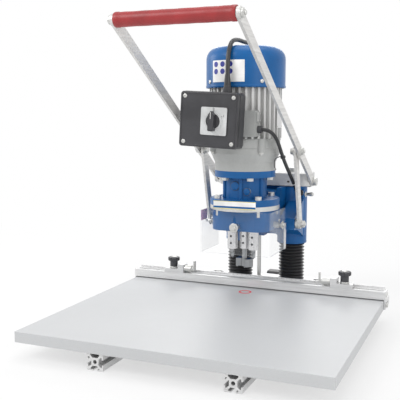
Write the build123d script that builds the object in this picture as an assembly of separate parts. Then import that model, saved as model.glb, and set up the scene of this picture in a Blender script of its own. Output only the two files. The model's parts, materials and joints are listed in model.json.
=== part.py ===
"""Bench boring machine with three spindles, for hinge cups and fitting holes in panels.

Every size is in millimetres. While the pieces are built, X is measured from the machine's
middle plane, Y from the front edge of the table and Z from the table's top face. The last
step moves the whole to its origin: the middle of its footprint, on the floor.
"""
from build123d import *
import math
import os

# ---------------------------------------------------------------- table and profiles
TABLE_WIDTH = 550.0
TABLE_DEPTH = 477.0
TABLE_THICK = 19.0
TABLE_EDGE_ROUND = 0.8
PROFILE_SIZE = 30.0
PROFILE_X = 120.0
PROFILE_INSET = 5.0
SLOT_MOUTH = 8.2
SLOT_LIP = 2.0
SLOT_INSIDE = 16.5
SLOT_SHOULDER = 4.5
SLOT_FLOOR = 9.0
SLOT_DEPTH = 8.2
PROFILE_CORE_R = 3.4
PROFILE_ROUND = 1.5
BRACKET_LEG = 22.0
BRACKET_WIDTH = 20.0
BRACKET_THICK = 3.0
BRACKET_Y = (70.0, 420.0)
SMALL_SCREW_R = 2.0
SMALL_HEAD_R = 4.0
SMALL_HEAD_H = 2.5
SMALL_SCREW_BITE = 11.0

# ---------------------------------------------------------------- base plate and columns
JOINT_GAP = 3.0
BASE_WIDTH = 262.0
BASE_DEPTH = 95.0
BASE_RISE = 4.0
BASE_SLOT_LENGTH = 24.0
BASE_SLOT_R = 7.0
BASE_SLOT_DEEP = 9.0
BASE_BOLT_R = 4.0
BASE_BOLT_HEAD_R = 6.5
BASE_BOLT_INSET = 20.0
BOLT_CLEARANCE = 0.5
COLUMN_X = 59.5
COLUMN_Y = 541.0
COLUMN_R = 12.5
COLUMN_TOP = 242.0

# ---------------------------------------------------------------- crosshead
CROSSHEAD_Z = (215.0, 242.0)
CROSSHEAD_Y = (505.0, 573.0)
CROSSHEAD_HALF = 103.0
CAP_BOLT_R = 8.0
CAP_BOLT_H = 7.0
PIVOT_Y = 530.0
PIVOT_Z = 224.0
PIVOT_R = 6.0

# ---------------------------------------------------------------- bellows and springs
BELLOWS_OUT_R = 28.0
BELLOWS_IN_R = 21.5
BELLOWS_WALL = 1.6
BELLOWS_FOLDS = 8
SPRING_ROOM = 3.0
SPRING_R = COLUMN_R + SPRING_ROOM
SPRING_WIRE_R = 1.5
SPRING_PITCH = 9.0

# ---------------------------------------------------------------- sliding head
BOSS_R = 32.0
BOSS_Z = (88.5, 213.0)
BUSH_R = 17.0
BUSH_LENGTH = 30.0
RUNNING_GAP = 0.05
MOVING_GAP = 0.5
WEB_Y = (518.0, 562.0)
NECK_HALF = 43.0
NECK_Z = (120.0, 206.0)
LUG_Z = 108.0
RIB_THICK = 10.0
LUG_X = (60.0, 90.5)
LUG_REACH = 12.0
LUG_TOP = 186.0
DRIVE_Y = 397.0
HOUSING_HALF = 60.0
HOUSING_Y = (350.0, 447.0)
HOUSING_Z = (136.0, 178.0)
HOUSING_ROUND = 26.0
HOUSING_BACK_ROUND = 4.0
HOUSING_WALL = 8.0
HOUSING_FLOOR = 8.0
FLANGE_R = 70.0
RING_Z = (178.0, 187.0)
FLANGE_TOP = 200.0
FLANGE_BOLT_CIRCLE_R = 60.0
FLANGE_BOLT_R = 4.0
NECK_PIPE_R = 42.0
NECK_PIPE_BORE_R = 26.0
NECK_RIBS = 6
NECK_RIB_START = 278.0
NECK_RIB_R = 3.5
TOP_FLANGE_R = 61.0
TOP_FLANGE_Z = (243.0, 256.0)
TOP_BOLT_CIRCLE_R = 52.0
PLUG_PLACES = ((-6.0, 226.5, 8.0), (18.0, 215.5, 6.5))
PLUG_PROUD = 1.5
PLUG_DEEP = 3.0

# ---------------------------------------------------------------- motor
SHIELD_Z = (256.0, 320.0)
SHIELD_TOP_R = 70.0
MOTOR_R = 62.0
FIN_OUT_R = 72.0
FIN_COUNT = 36
FIN_THICK = 4.2
MOTOR_Z = (320.0, 418.0)
MOTOR_BORE_R = 50.0
SHAFT_R = 10.0
ROTOR_R = 42.0
ROTOR_Z = (330.0, 405.0)
FAN_COVER_R = 78.5
FAN_COVER_Z = (418.0, 498.0)
FAN_COVER_WALL = 2.5
FAN_COVER_ROUND = 25.0
FAN_R = 66.0
FAN_Z = (432.0, 456.0)
FAN_BLADES = 8
GRILLE_SLOTS = 20
GRILLE_R = (16.0, 44.0)
GRILLE_SLOT_WIDTH = 4.0
TERMINAL_X = (-44.0, 46.0)
TERMINAL_Y = (322.0, 352.0)
TERMINAL_Z = (324.0, 374.0)
TERMINAL_ROUND = 4.0

# ---------------------------------------------------------------- control box and switch
CONTROL_CENTRE = (-34.5, 356.5)
CONTROL_SIZE = (116.0, 104.0)
CONTROL_Y = (282.0, 322.0)
CONTROL_ROUND = 6.0
CONTROL_WALL = 3.0
LID_THICK = 12.0
LID_GAP = 0.4
LID_PILLAR_R = 7.0
LID_SCREW_BITE = 10.0
CONTROL_ROLL = 3.0
SWITCH_PLACE = (12.5, -2.0)
SWITCH_PLATE = 52.0
SWITCH_PLATE_THICK = 3.0
SWITCH_COLLAR_R = 17.0
SWITCH_COLLAR_H = 4.0
KNOB_R = 13.5
KNOB_HEIGHT = 20.0
KNOB_REACH = 18.0
KNOB_GRIP = 9.0
SWITCH_SHAFT_R = 3.0

# ---------------------------------------------------------------- spindles and tools
SPINDLE_SPREAD = 22.5
SPINDLE_OFFSET = 9.5
GEAR_TEETH = 16
GEAR_Z = (150.0, 170.0)
GEAR_BACKLASH = 0.35
SPINDLE_R = 8.0
SPINDLE_TOP = 174.0
DRIVE_JOINT_Z = 215.0
CHUCK_R = 9.5
CHUCK_EXTRA = 1.0
CHUCK_Z = (95.0, 136.0)
CHUCK_GAP = 0.6
SET_SCREW_R = 2.5
SET_SCREW_DEEP = 2.5
SET_SCREW_RISE = (12.0, 26.0)
TOOL_SHANK_R = 5.0
CUTTER_R = 17.5
CUTTER_Z = (56.0, 74.0)
CUTTER_POINT = 3.0
DRILL_R = 4.0
DRILL_TIP = 75.0
DRILL_FLUTE_TURN = 200.0

# ---------------------------------------------------------------- lever and links
LEVER_X = (104.0, 109.0)
LINK_X = (96.5, 101.5)
BAR_WIDTH = 20.0
LINK_REACH = 132.0
LINK_FOOT_Y = 458.0
LINK_FOOT_Z = 142.0
LINK_PIN_R = 4.0
OPEN_PIVOT_GAP = 2.8
WASHER_R = 9.0
WASHER_THICK = 2.0
CROSS_SHAFT_R = 7.0
GRIP_Y = 60.0
GRIP_Z = 517.0
GRIP_R = 12.5
GRIP_BORE_R = 9.0
GRIP_ROD_R = 8.8
NUT_R = 7.5
NUT_H = 5.0

# ---------------------------------------------------------------- fence and side stops
FENCE_Y = 442.5
FENCE_DEPTH = 28.0
FENCE_HEIGHT = 18.5
FENCE_FOOT = 2.5
FENCE_RIDGE = 4.0
FENCE_RIDGE_RISE = 4.5
FENCE_HALF = 274.0
FENCE_TRAVEL = 25.0
FENCE_SLOT_Y = 12.0
FENCE_SLOT_MOUTH = 6.2
FENCE_SLOT_INSIDE = 11.0
FENCE_SLOT_LIP = 2.5
FENCE_SLOT_DEPTH = 7.0
END_PLATE_THICK = 3.0
END_PLATE_DROP = 17.0
END_BOLT_R = 3.0
END_BOLT_Z = -9.5
END_BOLT_HEAD_R = 5.0
END_BOLT_HEAD_H = 3.0
STOP_PLACES = {"left": -181.0, "right": 190.0}
STOP_BLOCK = 46.0
STOP_BLOCK_DEPTH = 24.0
STOP_BLOCK_HEIGHT = 8.0
STOP_EAR = 14.0
STOP_EAR_HEIGHT = 18.0
STOP_KEY = 5.6
STOP_KNOB_OFFSET = 5.0
STOP_KNOB_R = 13.0
STOP_KNOB_STEM_R = 8.5
STOP_KNOB_HEAD = 8.0
STOP_KNOB_HEIGHT = 24.0
STOP_STUD_R = 2.5
FLIP_PIN_R = 3.0
FLIP_HUB_R = 7.5
FLIP_HUB_LENGTH = 16.0
FLIP_AXIS_Y = 452.0
FLIP_AXIS_Z = 28.0
FLIP_TAB = 8.0
FLIP_TAB_THICK = 3.0
FLIP_TAB_TOP = 46.0
FLIP_GAP = 0.4

# ---------------------------------------------------------------- guard and depth stop
GUARD_HALF = 74.0
GUARD_Y = (335.0, 436.0)
GUARD_Z = (92.0, 177.0)
GUARD_WALL = 3.0
GUARD_ROUND = 6.0
GUARD_TRAVEL = 18.0
GUARD_BOLT_R = 3.0
GUARD_BOLT_Z = 146.0
GUARD_SIDE_BOLT_Y = 405.0
GUARD_SPACER_R = 6.0
GUARD_SLOT_GAP = 0.4
STRIP_Z = (93.0, 146.0)
STRIP_WIDTH = 10.0
STRIP_THICK = 2.0
STRIP_HOLES = 7
STRIP_HOLE_R = 1.4
DEPTH_ROD_Y = 494.0
DEPTH_ROD_R = 4.0
DEPTH_ROD_TOP = 206.0
DEPTH_COLLAR_R = 8.0
DEPTH_COLLAR_H = 10.0
DEPTH_SCREW_R = 4.0
DEPTH_SCREW_LENGTH = 10.0

# ---------------------------------------------------------------- cables
MAINS_R = 4.25
MAINS_GLAND_R = 9.0
MAINS_GLAND_H = 14.0
COIL_CENTRE = (62.0, 641.0)
COIL_R = 50.0
COIL_TUBE_R = 11.0
PLUG_CENTRE = (-16.0, 695.0)
PLUG_SIZE = (36.0, 34.0, 48.0)
PLUG_ROUND = 9.0
PLUG_PIN_R = 2.4
PLUG_PIN_LENGTH = 19.0
PLUG_PIN_SPREAD = 9.5
LEAD_R = 3.5
LEAD_GLAND_R = 7.0
LEAD_GLAND_LENGTH = 10.0

# ---------------------------------------------------------------- worked out from the above
PROFILE_TOP = -TABLE_THICK
FLOOR = PROFILE_TOP - PROFILE_SIZE
BASE_FRONT = TABLE_DEPTH + JOINT_GAP
BASE_BACK = BASE_FRONT + BASE_DEPTH
OVERALL_DEPTH = BASE_BACK
TO_ORIGIN = Pos(0, -OVERALL_DEPTH / 2, -FLOOR)
SIDES = (-1, 1)


def block(x, y, z):
    """A box between the low and high limits given for each axis."""
    size = [high - low for low, high in (x, y, z)]
    middle = [(high + low) / 2 for low, high in (x, y, z)]
    return Pos(*middle) * Box(*size)


def post(x, y, z, radius):
    """An upright cylinder between the two heights in z."""
    return Pos(x, y, (z[0] + z[1]) / 2) * Cylinder(radius, z[1] - z[0])


def bar_x(x, y, z, radius):
    """A cylinder along X between the two places in x."""
    return Pos((x[0] + x[1]) / 2, y, z) * Rot(0, 90, 0) * Cylinder(radius, x[1] - x[0])


def bar_y(x, y, z, radius):
    """A cylinder along Y between the two places in y."""
    return Pos(x, (y[0] + y[1]) / 2, z) * Rot(90, 0, 0) * Cylinder(radius, y[1] - y[0])


def hexagon(x, y, z, radius):
    """An upright hexagonal prism, radius across its corners."""
    return Pos(x, y, z[0]) * extrude(RegularPolygon(radius, 6), z[1] - z[0])


def ordered(side, near, far):
    """The limits from near to far on one side of the middle plane, lowest first."""
    return tuple(sorted((side * near, side * far)))


def upright_edges(shape):
    return shape.edges().filter_by(Axis.Z)


def save(name, *solids):
    """Writes one node: its solids, moved to the machine's own origin."""
    moved = [TO_ORIGIN * solid for solid in solids]
    shape = moved[0] if len(moved) == 1 else Compound(children=moved)
    export_step(shape, "parts/" + name + ".step")


os.makedirs("parts", exist_ok=True)


# ================================================================ table and profiles
def slot_outline():
    """The T-slot's outline, opening upwards at the top face of a profile."""
    top = PROFILE_SIZE / 2
    half_mouth = SLOT_MOUTH / 2
    half_inside = SLOT_INSIDE / 2
    half_floor = SLOT_FLOOR / 2
    right = [
        (half_mouth, top + 1),
        (half_mouth, top - SLOT_LIP),
        (half_inside, top - SLOT_LIP),
        (half_inside, top - SLOT_SHOULDER),
        (half_floor, top - SLOT_DEPTH),
    ]
    left = [(-x, z) for x, z in reversed(right)]
    return make_face(Polyline(*right, *left, close=True))


def profile(side):
    """An aluminium profile along Y with a T-slot in each face and a round core hole."""
    section = RectangleRounded(PROFILE_SIZE, PROFILE_SIZE, PROFILE_ROUND)
    for quarter in range(4):
        section -= Rot(0, 0, 90 * quarter) * slot_outline()
    section -= Circle(PROFILE_CORE_R)
    length = BASE_BACK - PROFILE_INSET
    place = Pos(side * PROFILE_X, BASE_BACK, PROFILE_TOP - PROFILE_SIZE / 2)
    return place * Rot(90, 0, 0) * extrude(section, length)


def table_board():
    board = block((-TABLE_WIDTH / 2, TABLE_WIDTH / 2), (0, TABLE_DEPTH), (-TABLE_THICK, 0))
    board = fillet(board.edges(), TABLE_EDGE_ROUND)
    for x, y in board_screw_places():
        board -= post(x, y, (PROFILE_TOP, PROFILE_TOP + SMALL_SCREW_BITE), SMALL_SCREW_R)
    for side in SIDES:
        hole = ordered(side, TABLE_WIDTH / 2 - END_BOLT_BITE, TABLE_WIDTH / 2)
        board -= bar_x(hole, FENCE_BOLT_Y, END_BOLT_Z, END_BOLT_R)
    return board


def bracket_places():
    """Each bracket's side of the machine and its place along the profile."""
    return [(side, y) for side in SIDES for y in BRACKET_Y]


def board_screw_places():
    reach = PROFILE_X - PROFILE_SIZE / 2 - BRACKET_LEG * 0.6
    return [(side * reach, y) for side, y in bracket_places()]


def table_bracket(side, y):
    """An angle between a profile's inner face and the underside of the board."""
    face = PROFILE_X - PROFILE_SIZE / 2
    along = (y - BRACKET_WIDTH / 2, y + BRACKET_WIDTH / 2)
    upright = block(
        ordered(side, face - BRACKET_THICK, face), along, (PROFILE_TOP - BRACKET_LEG, PROFILE_TOP)
    )
    flat = block(
        ordered(side, face - BRACKET_LEG, face), along, (PROFILE_TOP - BRACKET_THICK, PROFILE_TOP)
    )
    angle = upright + flat
    reach = face - BRACKET_LEG * 0.6
    angle -= post(side * reach, y, (PROFILE_TOP - BRACKET_THICK, PROFILE_TOP), SMALL_SCREW_R)
    middle = PROFILE_TOP - PROFILE_SIZE / 2
    angle -= bar_x(ordered(side, face - BRACKET_THICK, face), y, middle, SMALL_SCREW_R)
    return angle


def bracket_screws(side, y):
    """The wood screw into the board, and the screw with its nut in the profile's slot."""
    face = PROFILE_X - PROFILE_SIZE / 2
    reach = side * (face - BRACKET_LEG * 0.6)
    under = PROFILE_TOP - BRACKET_THICK
    wood = post(reach, y, (under, PROFILE_TOP + SMALL_SCREW_BITE), SMALL_SCREW_R)
    wood += post(reach, y, (under - SMALL_HEAD_H, under), SMALL_HEAD_R)
    middle = PROFILE_TOP - PROFILE_SIZE / 2
    inner = face - BRACKET_THICK
    metal = bar_x(ordered(side, inner, face + SLOT_DEPTH - 2), y, middle, SMALL_SCREW_R)
    metal += bar_x(ordered(side, inner - SMALL_HEAD_H, inner), y, middle, SMALL_HEAD_R)
    nut_x = ordered(side, face + SLOT_LIP, face + SLOT_SHOULDER)
    nut_half = SLOT_INSIDE / 2 - 1
    metal += block(nut_x, (y - nut_half, y + nut_half), (middle - nut_half, middle + nut_half))
    return [wood, metal]


# ================================================================ base plate and columns
BASE_BOLT_PLACES = [
    (side * PROFILE_X, y)
    for side in SIDES
    for y in (BASE_FRONT + BASE_BOLT_INSET, BASE_BACK - BASE_BOLT_INSET)
]
COLUMN_PLACES = [(side * COLUMN_X, COLUMN_Y) for side in SIDES]


def base_plate():
    """The plate that stands behind the table on both profiles and carries the columns."""
    plate = block((-BASE_WIDTH / 2, BASE_WIDTH / 2), (BASE_FRONT, BASE_BACK), (PROFILE_TOP, BASE_RISE))
    plate = fillet(upright_edges(plate), 3)
    for x, y in COLUMN_PLACES:
        plate -= post(x, y, (PROFILE_TOP, BASE_RISE), COLUMN_R)
    shift = BASE_SLOT_LENGTH / 2 - BASE_SLOT_R
    for x, y in BASE_BOLT_PLACES:
        slot = SlotOverall(BASE_SLOT_LENGTH, 2 * BASE_SLOT_R)
        inward = -shift / 2 if x > 0 else shift / 2
        plate -= Pos(x + inward, y, BASE_RISE - BASE_SLOT_DEEP) * extrude(slot, BASE_SLOT_DEEP)
        plate -= post(x, y, (PROFILE_TOP, BASE_RISE), BASE_BOLT_R + BOLT_CLEARANCE)
    plate -= post(0, DEPTH_ROD_Y, (PROFILE_TOP, BASE_RISE), DEPTH_ROD_R)
    return plate


def base_bolt(x, y):
    """A cap screw with its slot nut, clamping the base plate to a profile."""
    seat = BASE_RISE - BASE_SLOT_DEEP
    bolt = post(x, y, (PROFILE_TOP - SLOT_SHOULDER - 2, seat), BASE_BOLT_R)
    head = post(x, y, (seat, seat + 2 * BASE_BOLT_R), BASE_BOLT_HEAD_R)
    bolt += head - hexagon(x, y, (seat + BASE_BOLT_R, seat + 2 * BASE_BOLT_R), BASE_BOLT_R)
    half = SLOT_INSIDE / 2 - 1
    nut_z = (PROFILE_TOP - SLOT_SHOULDER, PROFILE_TOP - SLOT_LIP)
    return bolt + block((x - half, x + half), (y - half, y + half), nut_z)


def column(x, y):
    """A ground column from the base plate to the crosshead's top, tapped for its cap bolt."""
    pillar = post(x, y, (PROFILE_TOP, COLUMN_TOP), COLUMN_R)
    return pillar - post(x, y, (COLUMN_TOP - 2 * CAP_BOLT_R, COLUMN_TOP), CAP_BOLT_R / 2)


def cap_bolt(x, y):
    bolt = post(x, y, (COLUMN_TOP - 2 * CAP_BOLT_R, CROSSHEAD_Z[1]), CAP_BOLT_R / 2)
    washer_top = CROSSHEAD_Z[1] + WASHER_THICK
    bolt += post(x, y, (CROSSHEAD_Z[1], washer_top), CAP_BOLT_R + 3)
    return bolt + hexagon(x, y, (washer_top, washer_top + CAP_BOLT_H), CAP_BOLT_R)


# ================================================================ crosshead
def crosshead():
    """The bar clamped on both columns, with the lever's pivot at each end."""
    bar = block((-CROSSHEAD_HALF, CROSSHEAD_HALF), CROSSHEAD_Y, CROSSHEAD_Z)
    bar = fillet(upright_edges(bar), 14)
    bar = fillet(bar.faces().sort_by(Axis.Z)[-1].edges(), 2)
    for x, y in COLUMN_PLACES:
        bar -= post(x, y, CROSSHEAD_Z, COLUMN_R)
        bar -= bar_y(x, (CROSSHEAD_Y[0], COLUMN_Y - COLUMN_R), PIVOT_Z, SET_SCREW_R)
    for side in SIDES:
        hole = ordered(side, CROSSHEAD_HALF - 3 * PIVOT_R, CROSSHEAD_HALF)
        bar -= bar_x(hole, PIVOT_Y, PIVOT_Z, PIVOT_R - 1)
    return bar


def pivot_bolt(side):
    """The shoulder bolt on which a lever arm turns, screwed into the crosshead's end."""
    shoulder_end = LEVER_X[1] + MOVING_GAP
    thread = ordered(side, CROSSHEAD_HALF - 3 * PIVOT_R, CROSSHEAD_HALF)
    bolt = bar_x(thread, PIVOT_Y, PIVOT_Z, PIVOT_R - 1)
    bolt += bar_x(ordered(side, CROSSHEAD_HALF, shoulder_end), PIVOT_Y, PIVOT_Z, PIVOT_R)
    head_end = shoulder_end + NUT_H
    head = bar_x(ordered(side, shoulder_end, head_end), PIVOT_Y, PIVOT_Z, WASHER_R)
    socket = ordered(side, head_end - NUT_H / 2, head_end)
    return bolt + (head - bar_x(socket, PIVOT_Y, PIVOT_Z, PIVOT_R / 2))


def stand_screws():
    """Every screw of the stand: in the brackets, the base plate and the crosshead."""
    screws = [screw for place in bracket_places() for screw in bracket_screws(*place)]
    screws += [base_bolt(*place) for place in BASE_BOLT_PLACES]
    return screws + [cap_bolt(*place) for place in COLUMN_PLACES]


# ================================================================ bellows and springs
BELLOWS_Z = (BASE_RISE, BOSS_Z[0])


def bellows(x, y):
    """A folded rubber sleeve round one column, from the base plate to the boss."""
    height = (BELLOWS_Z[1] - BELLOWS_Z[0]) / BELLOWS_FOLDS
    outside = [(BELLOWS_IN_R, BELLOWS_Z[0])]
    for fold in range(BELLOWS_FOLDS):
        foot = BELLOWS_Z[0] + fold * height
        outside.append((BELLOWS_OUT_R, foot + height * 0.35))
        outside.append((BELLOWS_OUT_R, foot + height * 0.65))
        outside.append((BELLOWS_IN_R, foot + height))
    inside = [(radius - BELLOWS_WALL, z) for radius, z in reversed(outside)]
    section = make_face(Polyline(*outside, *inside, close=True))
    return Pos(x, y, 0) * revolve(Plane.XZ * section, Axis.Z)


def return_spring(x, y):
    """The coil spring inside a bellows that lifts the head back to its stop."""
    low = BASE_RISE + SPRING_WIRE_R
    high = BOSS_Z[0] - SPRING_WIRE_R
    helix = Helix(SPRING_PITCH, high - low, SPRING_R)
    wire = sweep(Plane(helix @ 0, z_dir=helix % 0) * Circle(SPRING_WIRE_R), path=helix)
    return Pos(x, y, low) * wire


# ================================================================ head casting
def head_casting():
    """Two bosses on the columns, the web that joins them and the neck to the gear housing."""
    body = block((-COLUMN_X, COLUMN_X), WEB_Y, (LUG_Z, BOSS_Z[1]))
    for x, y in COLUMN_PLACES:
        body += post(x, y, BOSS_Z, BOSS_R)
    body += block((-NECK_HALF, NECK_HALF), (HOUSING_Y[1], WEB_Y[0] + 1), NECK_Z)
    lug = (DEPTH_ROD_Y - 12, DEPTH_ROD_Y + 12)
    body += block((-14, 14), lug, (LUG_Z, NECK_Z[0] + 1))
    for side in SIDES:
        outline = Polyline(
            (HOUSING_Y[1], NECK_Z[0]),
            (WEB_Y[0] + 1, NECK_Z[0]),
            (WEB_Y[0] + 1, BOSS_Z[1]),
            (HOUSING_Y[1] + 30, BOSS_Z[1]),
            (HOUSING_Y[1], NECK_Z[0] + 45),
            close=True,
        )
        start = NECK_HALF if side > 0 else -NECK_HALF - RIB_THICK
        body += Pos(start, 0, 0) * extrude(Plane.YZ * make_face(outline), RIB_THICK)
        body += link_lug(side)
    for x, y in COLUMN_PLACES:
        body -= post(x, y, BOSS_Z, COLUMN_R + MOVING_GAP)
        body -= post(x, y, (BOSS_Z[0], BOSS_Z[0] + BUSH_LENGTH), BUSH_R)
        body -= post(x, y, (BOSS_Z[1] - BUSH_LENGTH, BOSS_Z[1]), BUSH_R)
    body -= post(0, DEPTH_ROD_Y, (LUG_Z - 1, BOSS_Z[1] + 1), DEPTH_ROD_R + MOVING_GAP)
    body -= post(0, DRIVE_Y, (HOUSING_Z[1], BOSS_Z[1] + 1), FLANGE_R + MOVING_GAP)
    body -= bar_x((-LUG_X[1], LUG_X[1]), LINK_FOOT_Y, LINK_FOOT_Z, CROSS_SHAFT_R)
    return body


def link_lug(side):
    """The cast arm that reaches forward from a boss to the cross shaft's end."""
    outline = Polyline(
        (LINK_FOOT_Y - LUG_REACH, LINK_FOOT_Z - LUG_REACH),
        (LINK_FOOT_Y + LUG_REACH, LINK_FOOT_Z - LUG_REACH - 2),
        (WEB_Y[0], LUG_Z),
        (COLUMN_Y, LUG_Z),
        (COLUMN_Y, LUG_TOP),
        (WEB_Y[0], LUG_TOP),
        (LINK_FOOT_Y - LUG_REACH, LINK_FOOT_Z + LUG_REACH),
        close=True,
    )
    arm = extrude(Plane.YZ * make_face(outline), LUG_X[1] - LUG_X[0])
    start = LUG_X[0] if side > 0 else -LUG_X[1]
    return Pos(start, 0, 0) * arm


def guide_bushes():
    """Four plain bushes, at the foot and the top of each boss."""
    bushes = []
    for x, y in COLUMN_PLACES:
        for low in (BOSS_Z[0], BOSS_Z[1] - BUSH_LENGTH):
            ring = post(x, y, (low, low + BUSH_LENGTH), BUSH_R)
            bushes.append(ring - post(x, y, (low, low + BUSH_LENGTH), COLUMN_R + RUNNING_GAP))
    return bushes


def cross_shaft():
    """The shaft across the neck that carries the foot of each link, with its end nuts."""
    end = LINK_X[1] + MOVING_GAP
    shaft = bar_x((-end, end), LINK_FOOT_Y, LINK_FOOT_Z, CROSS_SHAFT_R)
    for side in SIDES:
        collar = ordered(side, LINK_X[0] - MOVING_GAP - NUT_H, LINK_X[0] - MOVING_GAP)
        shaft += bar_x(collar, LINK_FOOT_Y, LINK_FOOT_Z, CROSS_SHAFT_R + 3)
        cap = ordered(side, end, end + WASHER_THICK)
        shaft += bar_x(cap, LINK_FOOT_Y, LINK_FOOT_Z, CROSS_SHAFT_R + 1)
    return shaft


# ================================================================ gear housing and motor
SPINDLE_PLACES = {
    "middle": (0.0, DRIVE_Y),
    "left": (-SPINDLE_SPREAD, DRIVE_Y - SPINDLE_OFFSET),
    "right": (SPINDLE_SPREAD, DRIVE_Y - SPINDLE_OFFSET),
}


def round_drive_axis(radius, count, first_angle):
    """Places evenly spaced on a circle round the motor's axis."""
    angles = [math.radians(first_angle + 360 * number / count) for number in range(count)]
    return [(radius * math.cos(angle), DRIVE_Y + radius * math.sin(angle)) for angle in angles]


FLANGE_BOLT_PLACES = round_drive_axis(FLANGE_BOLT_CIRCLE_R, 4, 45)
TOP_BOLT_PLACES = round_drive_axis(TOP_BOLT_CIRCLE_R, 6, 0)


def gear_housing():
    """The box round the gears, open at the top, with a hole in its floor for each spindle."""
    box = block((-HOUSING_HALF, HOUSING_HALF), HOUSING_Y, HOUSING_Z)
    uprights = upright_edges(box).sort_by(Axis.Y)
    box = fillet(uprights[:2], HOUSING_ROUND)
    box = fillet(upright_edges(box).sort_by(Axis.Y)[-2:], HOUSING_BACK_ROUND)
    box = fillet(box.faces().sort_by(Axis.Z)[0].edges(), 2)
    half = HOUSING_HALF - 2 * HOUSING_WALL
    inside = block(
        (-half, half),
        (HOUSING_Y[0] + HOUSING_WALL, HOUSING_Y[1] - 3 * HOUSING_WALL),
        (HOUSING_Z[0] + HOUSING_FLOOR, HOUSING_Z[1]),
    )
    box -= fillet(upright_edges(inside), 8)
    for x, y in SPINDLE_PLACES.values():
        box -= post(x, y, HOUSING_Z, SPINDLE_R + RUNNING_GAP)
    for x, y in FLANGE_BOLT_PLACES:
        box -= post(x, y, (HOUSING_Z[1] - 12, HOUSING_Z[1]), FLANGE_BOLT_R)
    for hole in guard_bolt_holes():
        box -= hole
    return box


def ring_plate():
    """The steel plate that closes the gear housing, with the drive shaft through it."""
    ring = post(0, DRIVE_Y, RING_Z, FLANGE_R)
    ring -= post(0, DRIVE_Y, RING_Z, SPINDLE_R + MOVING_GAP)
    for x, y in FLANGE_BOLT_PLACES:
        ring -= post(x, y, RING_Z, FLANGE_BOLT_R)
    return ring


def motor_adapter():
    """The blue pedestal between the gear housing and the motor."""
    body = post(0, DRIVE_Y, (RING_Z[1], FLANGE_TOP), FLANGE_R)
    body = fillet(body.faces().sort_by(Axis.Z)[-1].edges(), 2.5)
    body += post(0, DRIVE_Y, (RING_Z[1], TOP_FLANGE_Z[1]), NECK_PIPE_R)
    for number in range(NECK_RIBS):
        angle = math.radians(NECK_RIB_START + 360 * number / NECK_RIBS)
        x = (NECK_PIPE_R + 1) * math.cos(angle)
        y = DRIVE_Y + (NECK_PIPE_R + 1) * math.sin(angle)
        body += post(x, y, (FLANGE_TOP - 3, TOP_FLANGE_Z[0] + 1), NECK_RIB_R)
    body += post(0, DRIVE_Y, TOP_FLANGE_Z, TOP_FLANGE_R)
    body -= post(0, DRIVE_Y, (RING_Z[1], TOP_FLANGE_Z[1]), NECK_PIPE_BORE_R)
    for x, y in FLANGE_BOLT_PLACES:
        body -= post(x, y, (RING_Z[1], FLANGE_TOP), FLANGE_BOLT_R)
    for x, y in TOP_BOLT_PLACES:
        body -= post(x, y, TOP_FLANGE_Z, FLANGE_BOLT_R)
    for x, z, radius in PLUG_PLACES:
        body -= bar_y(x, plug_span(x, radius), z, radius)
    return body


def plug_span(x, radius):
    """Where a round plug on the neck starts and ends, along Y."""
    nearest = max(abs(x) - radius, 0)
    surface = DRIVE_Y - math.sqrt(NECK_PIPE_R**2 - nearest**2)
    farthest = DRIVE_Y - math.sqrt(NECK_PIPE_R**2 - (abs(x) + radius) ** 2)
    return (surface - PLUG_PROUD, farthest + PLUG_DEEP)


def neck_plugs():
    """The two screwed plugs in the front of the neck, each with a small socket."""
    plugs = []
    for x, z, radius in PLUG_PLACES:
        front, back = plug_span(x, radius)
        plug = bar_y(x, (front, back), z, radius)
        plugs.append(plug - bar_y(x, (front, front + 2), z, radius / 3))
    return plugs


def flange_screws():
    """Cap screws through the lower flange, and hexagon screws up into the motor."""
    screws = []
    for x, y in FLANGE_BOLT_PLACES:
        screw = post(x, y, (HOUSING_Z[1] - 12, FLANGE_TOP), FLANGE_BOLT_R)
        head = post(x, y, (FLANGE_TOP, FLANGE_TOP + 7), FLANGE_BOLT_R + 2.5)
        socket = hexagon(x, y, (FLANGE_TOP + 3, FLANGE_TOP + 7), FLANGE_BOLT_R - 0.5)
        screws.append(screw + (head - socket))
    for x, y in TOP_BOLT_PLACES:
        screw = post(x, y, (TOP_FLANGE_Z[0], TOP_FLANGE_Z[1] + 10), FLANGE_BOLT_R)
        screws.append(screw + hexagon(x, y, (TOP_FLANGE_Z[0] - 6, TOP_FLANGE_Z[0]), FLANGE_BOLT_R + 3))
    return screws


def motor_shield():
    """The motor's cast drive-end shield, flaring from the pedestal to the housing."""
    low, high = SHIELD_Z
    outline = Polyline(
        (SHAFT_R + 1, low),
        (TOP_FLANGE_R, low),
        (TOP_FLANGE_R, low + 16),
        (SHIELD_TOP_R - 1, low + 34),
        (SHIELD_TOP_R, high),
        (MOTOR_BORE_R, high),
        (MOTOR_BORE_R, low + 36),
        (SHAFT_R + 1, low + 24),
        close=True,
    )
    shield = Pos(0, DRIVE_Y, 0) * revolve(Plane.XZ * make_face(outline), Axis.Z)
    for x, y in TOP_BOLT_PLACES:
        shield -= post(x, y, (low, low + 10), FLANGE_BOLT_R)
    for angle in (0, 90, 180, 270):
        x = SHIELD_TOP_R * math.cos(math.radians(angle + 45))
        y = DRIVE_Y + SHIELD_TOP_R * math.sin(math.radians(angle + 45))
        shield += post(x, y, (low + 38, high), 7) - post(0, DRIVE_Y, SHIELD_Z, MOTOR_BORE_R)
    return shield


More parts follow.
